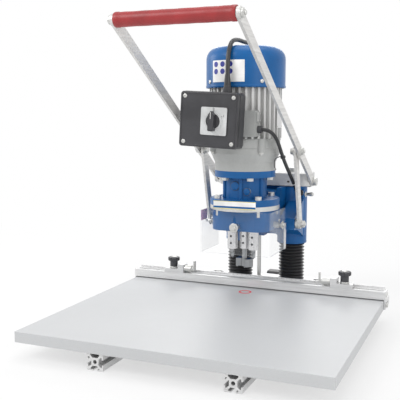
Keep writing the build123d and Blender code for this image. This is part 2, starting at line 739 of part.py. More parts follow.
def motor_housing():
    """The finned stator housing with the cast seat for the terminal box."""
    section = Circle(MOTOR_R)
    for number in range(FIN_COUNT):
        fin = Pos((MOTOR_R + FIN_OUT_R) / 2 - 1, 0) * Rectangle(FIN_OUT_R - MOTOR_R + 2, FIN_THICK)
        section += Rot(0, 0, 360 * number / FIN_COUNT) * fin
    section -= Circle(MOTOR_BORE_R)
    housing = Pos(0, DRIVE_Y, MOTOR_Z[0]) * extrude(section, MOTOR_Z[1] - MOTOR_Z[0])
    seat = block(TERMINAL_X, (TERMINAL_Y[1] - 6, DRIVE_Y), TERMINAL_Z)
    seat -= post(0, DRIVE_Y, MOTOR_Z, MOTOR_R - 1)
    seat -= block(TERMINAL_X, TERMINAL_Y, TERMINAL_Z)
    housing += seat
    return housing - block(TERMINAL_X, TERMINAL_Y, TERMINAL_Z)


def fan_cover():
    """The pressed cover over the fan, with a ring of air slots in its top."""
    low, high = FAN_COVER_Z
    cover = post(0, DRIVE_Y, FAN_COVER_Z, FAN_COVER_R)
    cover = fillet(cover.faces().sort_by(Axis.Z)[-1].edges(), FAN_COVER_ROUND)
    inner = post(0, DRIVE_Y, (low, high - FAN_COVER_WALL), FAN_COVER_R - FAN_COVER_WALL)
    cover -= fillet(inner.faces().sort_by(Axis.Z)[-1].edges(), FAN_COVER_ROUND - FAN_COVER_WALL)
    slot = SlotOverall(GRILLE_R[1] - GRILLE_R[0], GRILLE_SLOT_WIDTH)
    slot = Pos((GRILLE_R[0] + GRILLE_R[1]) / 2, 0) * slot
    for number in range(GRILLE_SLOTS):
        cut = extrude(Rot(0, 0, 360 * number / GRILLE_SLOTS) * slot, 2 * FAN_COVER_WALL)
        cover -= Pos(0, DRIVE_Y, high - 1.5 * FAN_COVER_WALL) * cut
    return cover


def motor_rotor():
    """The rotor on its shaft, with the cooling fan at the top."""
    rotor = post(0, DRIVE_Y, (DRIVE_JOINT_Z, FAN_Z[1] + 4), SHAFT_R)
    rotor += post(0, DRIVE_Y, ROTOR_Z, ROTOR_R)
    rotor += post(0, DRIVE_Y, (FAN_Z[0], FAN_Z[0] + 3), FAN_R)
    for number in range(FAN_BLADES):
        blade = block((SHAFT_R - 1, FAN_R - 1), (-1.2, 1.2), FAN_Z)
        rotor += Pos(0, DRIVE_Y, 0) * Rot(0, 0, 360 * number / FAN_BLADES) * blade
    return rotor


def terminal_box():
    """The box for the motor's terminals, hollow, on the front of the housing."""
    box = block(TERMINAL_X, TERMINAL_Y, TERMINAL_Z)
    box = fillet(box.edges().filter_by(Axis.Y), TERMINAL_ROUND)
    inside = block(
        (TERMINAL_X[0] + 3, TERMINAL_X[1] - 3),
        (TERMINAL_Y[0] + 3, TERMINAL_Y[1] - 3),
        (TERMINAL_Z[0] + 3, TERMINAL_Z[1] - 3),
    )
    box -= inside
    box -= post(0, DRIVE_Y, MOTOR_Z, MOTOR_BORE_R + 3)
    return box - bar_x((TERMINAL_X[1] - 4, TERMINAL_X[1]), LEAD_START[1], LEAD_START[2], LEAD_R)


# ================================================================ control box and switch
CONTROL_MIDDLE = (CONTROL_CENTRE[0], CONTROL_Y[0], CONTROL_CENTRE[1])
ROLLED = Pos(*CONTROL_MIDDLE) * Rot(0, CONTROL_ROLL, 0)
HALF_WIDE = CONTROL_SIZE[0] / 2
HALF_HIGH = CONTROL_SIZE[1] / 2
CONTROL_DEPTH = CONTROL_Y[1] - CONTROL_Y[0]
LID_SCREW_INSET = 9.0
LID_SCREW_PLACES = [
    (sx * (HALF_WIDE - LID_SCREW_INSET), sz * (HALF_HIGH - LID_SCREW_INSET)) for sx in SIDES for sz in SIDES
]


def control_box():
    """The black switch box, open at the front where its lid closes it."""
    box = block((-HALF_WIDE, HALF_WIDE), (LID_THICK, CONTROL_DEPTH), (-HALF_HIGH, HALF_HIGH))
    box = fillet(box.edges().filter_by(Axis.Y), CONTROL_ROUND)
    inside = block(
        (CONTROL_WALL - HALF_WIDE, HALF_WIDE - CONTROL_WALL),
        (LID_THICK, CONTROL_DEPTH - CONTROL_WALL),
        (CONTROL_WALL - HALF_HIGH, HALF_HIGH - CONTROL_WALL),
    )
    box -= inside
    for x, z in LID_SCREW_PLACES:
        box += bar_y(x, (LID_THICK, CONTROL_DEPTH - 1), z, LID_PILLAR_R)
    for x, z in LID_SCREW_PLACES:
        box -= bar_y(x, (LID_THICK, LID_THICK + LID_SCREW_BITE), z, SMALL_SCREW_R)
    box -= post(GLAND_LOCAL[0], GLAND_LOCAL[1], (HALF_HIGH - CONTROL_WALL - 1, HALF_HIGH), MAINS_R)
    return ROLLED * box


def control_lid():
    """The lid on the front of the switch box, with a shallow border round the switch."""
    lid = block((-HALF_WIDE, HALF_WIDE), (0, LID_THICK), (-HALF_HIGH, HALF_HIGH))
    lid = fillet(lid.edges().filter_by(Axis.Y), CONTROL_ROUND)
    lid = fillet(lid.faces().sort_by(Axis.Y)[0].edges(), 2)
    for x, z in LID_SCREW_PLACES:
        lid -= bar_y(x, (0, LID_THICK), z, SMALL_SCREW_R)
        lid -= bar_y(x, (0, 3), z, SMALL_HEAD_R + LID_GAP)
    lid -= bar_y(SWITCH_PLACE[0], (0, LID_THICK), SWITCH_PLACE[1], SWITCH_SHAFT_R + MOVING_GAP)
    return ROLLED * lid


def lid_screws():
    screws = []
    for x, z in LID_SCREW_PLACES:
        screw = bar_y(x, (3, LID_THICK + LID_SCREW_BITE), z, SMALL_SCREW_R)
        head = bar_y(x, (0.5, 3), z, SMALL_HEAD_R)
        head -= block((x - SMALL_HEAD_R, x + SMALL_HEAD_R), (0.5, 1.5), (z - 0.5, z + 0.5))
        screws.append(ROLLED * (screw + head))
    return screws


def switch_plate():
    """The square dial plate, with a round collar that the knob turns in."""
    half = SWITCH_PLATE / 2
    x, z = SWITCH_PLACE
    plate = block((x - half, x + half), (-SWITCH_PLATE_THICK, 0), (z - half, z + half))
    plate = fillet(plate.edges().filter_by(Axis.Y), 3)
    collar = bar_y(x, (-SWITCH_PLATE_THICK - SWITCH_COLLAR_H, -SWITCH_PLATE_THICK), z, SWITCH_COLLAR_R)
    plate += collar
    return ROLLED * (plate - bar_y(x, (-20, 0), z, KNOB_R + MOVING_GAP))


def switch_knob():
    """The turning knob with its raised grip, on a shaft through the lid."""
    x, z = SWITCH_PLACE
    foot = -MOVING_GAP
    disc = bar_y(x, (foot - SWITCH_PLATE_THICK - SWITCH_COLLAR_H - 1, foot), z, KNOB_R)
    grip_y = (foot - KNOB_HEIGHT, foot - SWITCH_PLATE_THICK - SWITCH_COLLAR_H)
    grip = block((x - KNOB_GRIP / 2, x + KNOB_GRIP / 2), grip_y, (z - KNOB_REACH, z + KNOB_REACH))
    grip = fillet(grip.edges().filter_by(Axis.Y), 2.5)
    return ROLLED * (disc + grip + bar_y(x, (foot, LID_THICK + 4), z, SWITCH_SHAFT_R))


# ================================================================ spindles and tools
def gear(x, y, turned):
    """A spur gear at the spindle; turned is the angle of its first tooth."""
    distance = math.hypot(SPINDLE_SPREAD, SPINDLE_OFFSET)
    module = distance / GEAR_TEETH
    pitch_r = distance / 2
    outer_r = pitch_r + 0.85 * module
    root_r = pitch_r - 1.1 * module
    tooth = module * math.pi / 2 - GEAR_BACKLASH
    points = [
        (root_r - 1, -tooth * 0.75),
        (root_r, -tooth * 0.72),
        (pitch_r, -tooth / 2),
        (outer_r, -tooth * 0.22),
        (outer_r, tooth * 0.22),
        (pitch_r, tooth / 2),
        (root_r, tooth * 0.72),
        (root_r - 1, tooth * 0.75),
    ]
    section = Circle(root_r)
    shape = make_face(Polyline(*points, close=True))
    for number in range(GEAR_TEETH):
        section += Rot(0, 0, turned + 360 * number / GEAR_TEETH) * shape
    return Pos(x, y, GEAR_Z[0]) * extrude(section, GEAR_Z[1] - GEAR_Z[0])


def gear_angle(name):
    """The angle that puts a gear in mesh: a tooth of the middle one faces each outer gap."""
    toward_right = math.degrees(math.atan2(-SPINDLE_OFFSET, SPINDLE_SPREAD))
    pitch = 360 / GEAR_TEETH
    if name == "middle":
        return toward_right
    if name == "right":
        return toward_right + 180 + pitch / 2
    toward_left = 180 - toward_right
    teeth_between = (toward_left - toward_right) / pitch
    part = teeth_between - math.floor(teeth_between)
    return toward_left + 180 + pitch / 2 + part * pitch


def chuck_radius(name):
    """The middle chuck is slimmer, so that it clears the one on each side."""
    return CHUCK_R if name == "middle" else CHUCK_R + CHUCK_EXTRA


def spindle(name):
    """A spindle with its gear and its tool holder, bored for the tool's shank."""
    x, y = SPINDLE_PLACES[name]
    top = DRIVE_JOINT_Z if name == "middle" else SPINDLE_TOP
    low, high = CHUCK_Z
    body = post(x, y, (high - 1, top), SPINDLE_R)
    body += gear(x, y, gear_angle(name))
    body += post(x, y, (low, high - CHUCK_GAP), chuck_radius(name))
    body -= post(x, y, (low, high - 12), TOOL_SHANK_R)
    wall = chuck_radius(name) - TOOL_SHANK_R
    for z in (low + SET_SCREW_RISE[0], low + SET_SCREW_RISE[1]):
        deep = y - TOOL_SHANK_R - wall + SET_SCREW_DEEP
        body -= bar_y(x, (y - chuck_radius(name) - 1, deep), z, SET_SCREW_R)
    return body


def shank(name, low):
    """A tool's shank, up to the end of the bore in its holder."""
    x, y = SPINDLE_PLACES[name]
    return post(x, y, (low, CHUCK_Z[1] - 12), TOOL_SHANK_R)


def hinge_cutter():
    """The 35 mm cup cutter: a head with two chip gaps, two spurs and a centre point."""
    x, y = SPINDLE_PLACES["middle"]
    low, high = CUTTER_Z
    head = post(x, y, (low + 2, high), CUTTER_R)
    for side in SIDES:
        gap = block((0, CUTTER_R + 1), (0, CUTTER_R + 1), (low, high))
        gap -= post(0, 0, (low, high), TOOL_SHANK_R + 1)
        turn = 20 if side > 0 else 200
        head -= Pos(x, y, 0) * Rot(0, 0, turn) * gap
    for turn in (10, 190):
        spur = block((CUTTER_R - 4, CUTTER_R - 0.6), (-3.2, -0.2), (low, low + 3))
        head += Pos(x, y, 0) * Rot(0, 0, turn) * spur
    point = Pos(x, y, low - CUTTER_POINT / 2 + 1) * Cone(0.3, 3, CUTTER_POINT + 2)
    return head + point + shank("middle", high - 1)


def twist_drill(name):
    """An 8 mm drill with two wound flutes and a centre point."""
    x, y = SPINDLE_PLACES[name]
    top = CHUCK_Z[0]
    length = top - DRILL_TIP - 3
    section = Circle(DRILL_R) - Pos(DRILL_R, 0) * Circle(2) - Pos(-DRILL_R, 0) * Circle(2)
    flutes = extrude_twisted(section, length, DRILL_FLUTE_TURN)
    body = Pos(x, y, DRILL_TIP + 3) * flutes
    tip = Pos(x, y, DRILL_TIP + 1.5) * Cone(0.4, 2, 3)
    return body + tip + shank(name, top)


def extrude_twisted(section, length, turn):
    """An upright extrusion of the section, turned by the angle over its length."""
    steps = 5
    layers = []
    for step in range(steps + 1):
        share = step / steps
        layers.append(Pos(0, 0, length * share) * Rot(0, 0, turn * share) * section)
    return loft([layer.faces()[0] for layer in layers], ruled=False)


# ================================================================ lever and links
LEVER_LENGTH = math.hypot(GRIP_Y - PIVOT_Y, GRIP_Z - PIVOT_Z)
LEVER_ANGLE = math.degrees(math.atan2(GRIP_Z - PIVOT_Z, GRIP_Y - PIVOT_Y))
LINK_TOP_Y = PIVOT_Y + LINK_REACH * math.cos(math.radians(LEVER_ANGLE))
LINK_TOP_Z = PIVOT_Z + LINK_REACH * math.sin(math.radians(LEVER_ANGLE))
LINK_ANGLE = math.degrees(math.atan2(LINK_TOP_Z - LINK_FOOT_Z, LINK_TOP_Y - LINK_FOOT_Y))
LINK_LENGTH = math.hypot(LINK_TOP_Y - LINK_FOOT_Y, LINK_TOP_Z - LINK_FOOT_Z)


def flat_bar(x, foot, length, angle):
    """A round-ended flat bar in a plane of constant X, from its foot (Y, Z) at an angle."""
    section = Pos(length / 2, 0) * SlotOverall(length + BAR_WIDTH, BAR_WIDTH)
    plane = Plane(origin=(x[0], foot[0], foot[1]), x_dir=(0, 1, 0), z_dir=(1, 0, 0))
    return plane * Rot(0, 0, angle) * extrude(section, x[1] - x[0])


def lever_arm(side):
    """One side arm of the lever, from the crosshead's pivot to the grip."""
    x = ordered(side, *LEVER_X)
    arm = flat_bar(x, (PIVOT_Y, PIVOT_Z), LEVER_LENGTH, LEVER_ANGLE)
    arm -= bar_x(x, PIVOT_Y, PIVOT_Z, PIVOT_R + RUNNING_GAP)
    arm -= bar_x(x, LINK_TOP_Y, LINK_TOP_Z, LINK_PIN_R)
    return arm - bar_x(x, GRIP_Y, GRIP_Z, LINK_PIN_R)


def link(side):
    """The link that pulls the head down; its top hole is wide round the arm's pin."""
    x = ordered(side, *LINK_X)
    bar = flat_bar(x, (LINK_FOOT_Y, LINK_FOOT_Z), LINK_LENGTH, LINK_ANGLE)
    bar -= bar_x(x, LINK_FOOT_Y, LINK_FOOT_Z, CROSS_SHAFT_R + RUNNING_GAP)
    return bar - bar_x(x, LINK_TOP_Y, LINK_TOP_Z, LINK_PIN_R + OPEN_PIVOT_GAP)


def link_pin(side):
    """The bolt that joins a link to its arm, with a head outside and a washer inside."""
    y, z = LINK_TOP_Y, LINK_TOP_Z
    pin = bar_x(ordered(side, LINK_X[0] - MOVING_GAP, LEVER_X[1]), y, z, LINK_PIN_R)
    inner = LINK_X[0] - MOVING_GAP
    pin += bar_x(ordered(side, inner - WASHER_THICK, inner), y, z, WASHER_R)
    pin += bar_x(ordered(side, inner - WASHER_THICK - NUT_H, inner - WASHER_THICK), y, z, NUT_R - 1)
    return pin + bar_x(ordered(side, LEVER_X[1], LEVER_X[1] + NUT_H), y, z, NUT_R)


def lever_grip():
    """The sleeve that the hand holds, between the two arms."""
    span = (-LEVER_X[0], LEVER_X[0])
    sleeve = bar_x(span, GRIP_Y, GRIP_Z, GRIP_R)
    sleeve = fillet(sleeve.edges(), 2)
    return sleeve - bar_x(span, GRIP_Y, GRIP_Z, GRIP_BORE_R)


def grip_rod():
    """The steel rod inside the grip, bolted through both arms."""
    rod = bar_x((-LEVER_X[0], LEVER_X[0]), GRIP_Y, GRIP_Z, GRIP_ROD_R)
    rod += bar_x((-LEVER_X[1], LEVER_X[1]), GRIP_Y, GRIP_Z, LINK_PIN_R)
    for side in SIDES:
        rod += bar_x(ordered(side, LEVER_X[1], LEVER_X[1] + NUT_H), GRIP_Y, GRIP_Z, NUT_R)
    return rod


# ================================================================ fence and side stops
FENCE_BOLT_Y = FENCE_Y + FENCE_SLOT_Y
END_BOLT_BITE = 20.0
FENCE_TOP = FENCE_HEIGHT


def fence_rail():
    """The extruded rail that panels are pushed against, with a T-slot and a raised back."""
    mid = FENCE_Y + FENCE_SLOT_Y
    back = FENCE_Y + FENCE_DEPTH
    lip = FENCE_TOP - FENCE_SLOT_LIP
    floor = FENCE_TOP - FENCE_SLOT_DEPTH
    outline = Polyline(
        (FENCE_Y, FENCE_FOOT),
        (back, FENCE_FOOT),
        (back, FENCE_TOP + FENCE_RIDGE_RISE),
        (back - FENCE_RIDGE, FENCE_TOP + FENCE_RIDGE_RISE),
        (back - FENCE_RIDGE, FENCE_TOP),
        (mid + FENCE_SLOT_MOUTH / 2, FENCE_TOP),
        (mid + FENCE_SLOT_MOUTH / 2, lip),
        (mid + FENCE_SLOT_INSIDE / 2, lip),
        (mid + FENCE_SLOT_INSIDE / 2, floor),
        (mid - FENCE_SLOT_INSIDE / 2, floor),
        (mid - FENCE_SLOT_INSIDE / 2, lip),
        (mid - FENCE_SLOT_MOUTH / 2, lip),
        (mid - FENCE_SLOT_MOUTH / 2, FENCE_TOP),
        (FENCE_Y, FENCE_TOP),
        close=True,
    )
    rail = extrude(Plane.YZ * make_face(outline), 2 * FENCE_HALF)
    return Pos(-FENCE_HALF, 0, 0) * rail


def fence_end_plate(side):
    """The plate on the rail's end, slotted for the bolt in the table's edge."""
    start = TABLE_WIDTH / 2 + MOVING_GAP
    x = ordered(side, start, start + END_PLATE_THICK)
    plate = block(x, (FENCE_Y, FENCE_Y + FENCE_DEPTH + FENCE_TRAVEL), (-END_PLATE_DROP, FENCE_TOP))
    rail_y = (FENCE_Y, FENCE_Y + FENCE_DEPTH)
    plate += block(ordered(side, FENCE_HALF, start), rail_y, (FENCE_FOOT, FENCE_TOP))
    plate -= block(x, (FENCE_Y + FENCE_DEPTH, BASE_BACK), (0, FENCE_TOP))
    slot = SlotOverall(FENCE_TRAVEL + 2 * END_BOLT_R + 1, 2 * END_BOLT_R + 0.6)
    middle = (x[0], FENCE_BOLT_Y + FENCE_TRAVEL / 2, END_BOLT_Z)
    plane = Plane(origin=middle, x_dir=(0, 1, 0), z_dir=(1, 0, 0))
    return plate - plane * extrude(slot, END_PLATE_THICK)


def fence_bolt(side):
    """The bolt in the table's edge that the fence slides on and is clamped by."""
    face = TABLE_WIDTH / 2
    head = face + MOVING_GAP + END_PLATE_THICK + MOVING_GAP
    bolt = bar_x(ordered(side, face - END_BOLT_BITE, head), FENCE_BOLT_Y, END_BOLT_Z, END_BOLT_R)
    head_x = ordered(side, head, head + END_BOLT_HEAD_H)
    return bolt + bar_x(head_x, FENCE_BOLT_Y, END_BOLT_Z, END_BOLT_HEAD_R)


def inward(name):
    """The direction along X from a side stop towards the middle of the machine."""
    return 1 if name == "left" else -1


def stop_block(name):
    """The block that slides along the fence, with a key in its T-slot and an ear for the flip."""
    middle = STOP_PLACES[name]
    low = FENCE_TOP + 0.2
    top = low + STOP_BLOCK_HEIGHT
    y = (FENCE_Y, FENCE_Y + STOP_BLOCK_DEPTH - MOVING_GAP)
    body = block((middle - STOP_BLOCK / 2, middle + STOP_BLOCK / 2), y, (low, top))
    ear_end = middle + inward(name) * STOP_BLOCK / 2
    ear_start = ear_end - inward(name) * STOP_EAR
    ear_x = tuple(sorted((ear_start, ear_end)))
    body += block(ear_x, y, (low, low + STOP_EAR_HEIGHT))
    body = fillet(upright_edges(body).group_by(Axis.X)[0] + upright_edges(body).group_by(Axis.X)[-1], 2)
    key_y = (FENCE_BOLT_Y - STOP_KEY / 2, FENCE_BOLT_Y + STOP_KEY / 2)
    key = block((middle - STOP_BLOCK / 3, middle + STOP_BLOCK / 3), key_y, (low - 2, low + 1))
    body += key
    knob_x = stop_knob_x(name)
    body -= post(knob_x, FENCE_BOLT_Y, (low - 2, top), STOP_STUD_R + MOVING_GAP)
    pin = tuple(sorted((ear_end - inward(name) * STOP_EAR, ear_end)))
    return body - bar_x(pin, FLIP_AXIS_Y, FLIP_AXIS_Z, FLIP_PIN_R + RUNNING_GAP)


def stop_knob_x(name):
    return STOP_PLACES[name] - inward(name) * STOP_KNOB_OFFSET


def stop_knob(name):
    """The clamping knob, with its stud and foot in the fence's T-slot."""
    x = stop_knob_x(name)
    seat = FENCE_TOP + 0.2 + STOP_BLOCK_HEIGHT + 0.3
    top = seat + STOP_KNOB_HEIGHT
    head = post(x, FENCE_BOLT_Y, (top - STOP_KNOB_HEAD, top), STOP_KNOB_R)
    head = fillet(head.edges(), 2)
    for number in range(6):
        angle = math.radians(60 * number + 30)
        reach = STOP_KNOB_R + 1.5
        place = (x + reach * math.cos(angle), FENCE_BOLT_Y + reach * math.sin(angle))
        head -= post(*place, (top - STOP_KNOB_HEAD - 1, top + 1), 3)
    stem = post(x, FENCE_BOLT_Y, (seat, top - STOP_KNOB_HEAD + 1), STOP_KNOB_STEM_R)
    stud = post(x, FENCE_BOLT_Y, (FENCE_TOP - FENCE_SLOT_LIP - 2, seat + 1), STOP_STUD_R)
    foot_z = (FENCE_TOP - FENCE_SLOT_LIP - 3, FENCE_TOP - FENCE_SLOT_LIP - 0.4)
    return head + stem + stud + post(x, FENCE_BOLT_Y, foot_z, FENCE_SLOT_INSIDE / 2 - MOVING_GAP)


def stop_flip(name):
    """The flip-up stop: a hub on its pin, with a tab that stands up at its end."""
    toward = inward(name)
    start = STOP_PLACES[name] + toward * (STOP_BLOCK / 2 + FLIP_GAP)
    end = start + toward * FLIP_HUB_LENGTH
    hub_x = tuple(sorted((start, end)))
    hub = bar_x(hub_x, FLIP_AXIS_Y, FLIP_AXIS_Z, FLIP_HUB_R)
    pin_x = tuple(sorted((start - toward * (STOP_EAR - 1), end)))
    hub += bar_x(pin_x, FLIP_AXIS_Y, FLIP_AXIS_Z, FLIP_PIN_R)
    arm_x = tuple(sorted((end, end + toward * FLIP_TAB)))
    arm_z = (FLIP_AXIS_Z - 3, FLIP_AXIS_Z + 3)
    tab_y = (FLIP_AXIS_Y - FLIP_TAB / 2, FLIP_AXIS_Y + FLIP_TAB / 2)
    hub += block(arm_x, tab_y, arm_z)
    tab_x = tuple(sorted((end + toward * (FLIP_TAB - FLIP_TAB_THICK), end + toward * FLIP_TAB)))
    return hub + block(tab_x, tab_y, (FLIP_AXIS_Z - 3, FLIP_TAB_TOP))


# ================================================================ guard and depth stop
def guard_bolt_holes():
    """The holes in the gear housing for the guard's bolts: one in front, one on each side."""
    front = bar_y(0, (HOUSING_Y[0], HOUSING_Y[0] + 7), GUARD_BOLT_Z, GUARD_BOLT_R)
    holes = [front]
    for side in SIDES:
        span = ordered(side, HOUSING_HALF - 10, HOUSING_HALF)
        holes.append(bar_x(span, GUARD_SIDE_BOLT_Y, GUARD_BOLT_Z, GUARD_BOLT_R))
    return holes


def guard_shield():
    """The clear guard round the tools, in front and at both sides, slotted for its bolts."""
    outer = block((-GUARD_HALF, GUARD_HALF), GUARD_Y, GUARD_Z)
    outer = fillet(upright_edges(outer).sort_by(Axis.Y)[:2], GUARD_ROUND)
    half = GUARD_HALF - GUARD_WALL
    inner = block((-half, half), (GUARD_Y[0] + GUARD_WALL, GUARD_Y[1]), GUARD_Z)
    inner = fillet(upright_edges(inner).sort_by(Axis.Y)[:2], GUARD_ROUND - GUARD_WALL)
    shield = outer - inner
    slot = SlotOverall(GUARD_TRAVEL + 2 * GUARD_BOLT_R + 1, 2 * (GUARD_BOLT_R + GUARD_SLOT_GAP))
    middle = GUARD_BOLT_Z + GUARD_TRAVEL / 2
    front = Plane(origin=(0, GUARD_Y[0] + GUARD_WALL, middle), x_dir=(0, 0, 1), z_dir=(0, -1, 0))
    shield -= front * extrude(slot, GUARD_WALL)
    for start in (-GUARD_HALF, GUARD_HALF - GUARD_WALL):
        side = Plane(origin=(start, GUARD_SIDE_BOLT_Y, middle), x_dir=(0, 0, 1), z_dir=(1, 0, 0))
        shield -= side * extrude(slot, GUARD_WALL)
    return shield


def guard_bolts():
    """The guard's three bolts, each with a spacer that holds the guard off the housing."""
    bolts = []
    spacer_y = (GUARD_Y[0] + GUARD_WALL + MOVING_GAP, HOUSING_Y[0])
    front = bar_y(0, spacer_y, GUARD_BOLT_Z, GUARD_SPACER_R)
    front += bar_y(0, (GUARD_Y[0] - MOVING_GAP, HOUSING_Y[0] + 7), GUARD_BOLT_Z, GUARD_BOLT_R)
    head_y = (GUARD_Y[0] - MOVING_GAP - 3, GUARD_Y[0] - MOVING_GAP)
    front += bar_y(0, head_y, GUARD_BOLT_Z, GUARD_SPACER_R)
    bolts.append(front)
    for side in SIDES:
        inner = GUARD_HALF - GUARD_WALL - MOVING_GAP
        bolt = bar_x(ordered(side, HOUSING_HALF, inner), GUARD_SIDE_BOLT_Y, GUARD_BOLT_Z, GUARD_SPACER_R)
        span = ordered(side, HOUSING_HALF - 10, GUARD_HALF + MOVING_GAP)
        bolt += bar_x(span, GUARD_SIDE_BOLT_Y, GUARD_BOLT_Z, GUARD_BOLT_R)
        head = ordered(side, GUARD_HALF + MOVING_GAP, GUARD_HALF + MOVING_GAP + 3)
        bolts.append(bolt + bar_x(head, GUARD_SIDE_BOLT_Y, GUARD_BOLT_Z, GUARD_SPACER_R))
    return bolts


def guard_strip():
    """The pierced metal strip on the rear edge of the guard's right wall."""
    x = (GUARD_HALF, GUARD_HALF + STRIP_THICK)
    y = (GUARD_Y[1] - STRIP_WIDTH, GUARD_Y[1])
    strip = block(x, y, STRIP_Z)
    pitch = (STRIP_Z[1] - STRIP_Z[0]) / STRIP_HOLES
    for number in range(STRIP_HOLES):
        z = STRIP_Z[0] + (number + 0.5) * pitch
        strip -= bar_x(x, GUARD_Y[1] - STRIP_WIDTH / 2, z, STRIP_HOLE_R)
    return strip


def head_screws():
    """Every screw of the head: in the flanges, the neck, the switch box and the guard."""
    return flange_screws() + neck_plugs() + lid_screws() + guard_bolts()


def depth_rod():
    return post(0, DEPTH_ROD_Y, (PROFILE_TOP, DEPTH_ROD_TOP), DEPTH_ROD_R)


def depth_collar():
    """The collar on the depth rod that the head's lug comes down on."""
    z = (BASE_RISE + MOVING_GAP, BASE_RISE + MOVING_GAP + DEPTH_COLLAR_H)
    collar = post(0, DEPTH_ROD_Y, z, DEPTH_COLLAR_R) - post(0, DEPTH_ROD_Y, z, DEPTH_ROD_R + RUNNING_GAP)
    middle = (z[0] + z[1]) / 2
    return collar - bar_x((-DEPTH_COLLAR_R, -DEPTH_ROD_R), DEPTH_ROD_Y, middle, SMALL_SCREW_R)


def depth_screw():
    """The thumb screw that clamps the collar."""
    middle = BASE_RISE + MOVING_GAP + DEPTH_COLLAR_H / 2
    screw = bar_x((-DEPTH_COLLAR_R, -DEPTH_ROD_R - RUNNING_GAP - 0.2), DEPTH_ROD_Y, middle, SMALL_SCREW_R)
    reach = (-DEPTH_COLLAR_R - DEPTH_SCREW_LENGTH, -DEPTH_COLLAR_R)
    return screw + bar_x(reach, DEPTH_ROD_Y, middle, DEPTH_SCREW_R)


# ================================================================ cables
# Place of the mains gland in the rolled frame of the control box.
GLAND_LOCAL = (26.0, 25.0)
LEAD_START = (TERMINAL_X[1], 333.0, 338.0)
GROMMET_X = 84.0
GROMMET_Z = 200.0
GROMMET_Y = (512.0, 519.0)
MAINS_EXIT = ROLLED * Pos(GLAND_LOCAL[0], GLAND_LOCAL[1], HALF_HIGH + MAINS_GLAND_H)
MAINS_SPLIT = (-6.0, 490.0, 398.0)
MAINS_HEAD_ROUTE = [
    tuple(MAINS_EXIT.position),
    (-5.0, 307.0, 448.0),
    (-5.5, 312.0, 482.0),
    (-6.0, 330.0, 505.0),
    (-6.5, 362.0, 511.0),
    (-7.0, 402.0, 510.0),
    (-7.0, 440.0, 510.0),
    (-7.0, 472.0, 500.0),
    (-6.5, 488.0, 472.0),
    (-6.0, 490.0, 436.0),
    MAINS_SPLIT,
]
MAINS_DROP_ROUTE = [
    MAINS_SPLIT,
    (-6.0, 490.0, 360.0),
    (-5.0, 494.0, 324.0),
    (-4.0, 508.0, 292.0),
    (-2.0, 532.0, 270.0),
    (0.0, 562.0, 263.0),
    (2.0, 587.0, 250.0),
    (4.0, 600.0, 222.0),
    (7.0, 604.5, 180.0),
    (12.0, 606.5, 134.0),
    (18.0, 607.5, 88.0),
    (23.0, 607.5, 46.0),
    (28.0, 606.5, 14.0),
    (34.5, 603.0, -11.0),
    (47.0, 597.5, -28.0),
    (66.0, 591.5, -36.0),
]
LEAD_ROUTE = [
    (TERMINAL_X[1] + LEAD_GLAND_LENGTH, LEAD_START[1], LEAD_START[2]),
    (66.0, LEAD_START[1] + 1, LEAD_START[2] - 1),
    (75.0, 338.5, 331.0),
    (80.0, 348.0, 320.0),
    (81.5, 360.5, 307.0),
    (82.0, 375.0, 292.0),
    (83.0, 391.0, 276.0),
    (85.0, 408.0, 259.5),
    (87.0, 426.0, 242.5),
    (88.5, 443.5, 227.5),
    (88.5, 460.0, 215.0),
    (87.0, 475.5, 206.0),
    (85.0, 489.0, 201.0),
    (GROMMET_X, 501.0, GROMMET_Z),
    (GROMMET_X, GROMMET_Y[0], GROMMET_Z),
]


def corner_radii(points):
    """A radius for each corner of a route, as large as the runs beside it allow."""
    radii = []
    for before, here, after in zip(points, points[1:], points[2:]):
        first = Vector(*here) - Vector(*before)
        second = Vector(*after) - Vector(*here)
        turn = math.radians(first.get_angle(second))
        radii.append(0.45 * min(first.length, second.length) / math.tan(turn / 2))
    return radii


def tube(name, points, radius):
    """A cable's solid along straight runs joined by tangent arcs."""
    radii = corner_radii(points)
    path = FilletPolyline(*points, radius=radii)
    start = Plane(origin=path @ 0, z_dir=path % 0)
    solid = sweep(start * Circle(radius), path=path)
    expected = math.pi * radius**2 * path.length
    print(name, "length", round(path.length, 1), "least radius", round(min(radii), 1))
    print(name, "volume over section times length", round(solid.volume / expected, 4))
    return solid


def mains_coil():
    """The outer shape of the lead's coil, lying on the floor behind the machine."""
    x, y = COIL_CENTRE
    ring = Torus(COIL_R, COIL_TUBE_R)
    return Pos(x, y, FLOOR + COIL_TUBE_R) * ring


def mains_plug():
    """The two-pin plug lying beside the coil, its pins pointing away from it."""
    x, y = PLUG_CENTRE
    wide, thick, length = PLUG_SIZE
    body = block((x - length / 2, x + length / 2), (y - wide / 2, y + wide / 2), (FLOOR, FLOOR + thick))
    body = fillet(body.edges().filter_by(Axis.X), PLUG_ROUND)
    for side in SIDES:
        pin = (x - length / 2 - PLUG_PIN_LENGTH, x - length / 2)
        body += bar_x(pin, y + side * PLUG_PIN_SPREAD, FLOOR + thick / 2, PLUG_PIN_R)
    return body


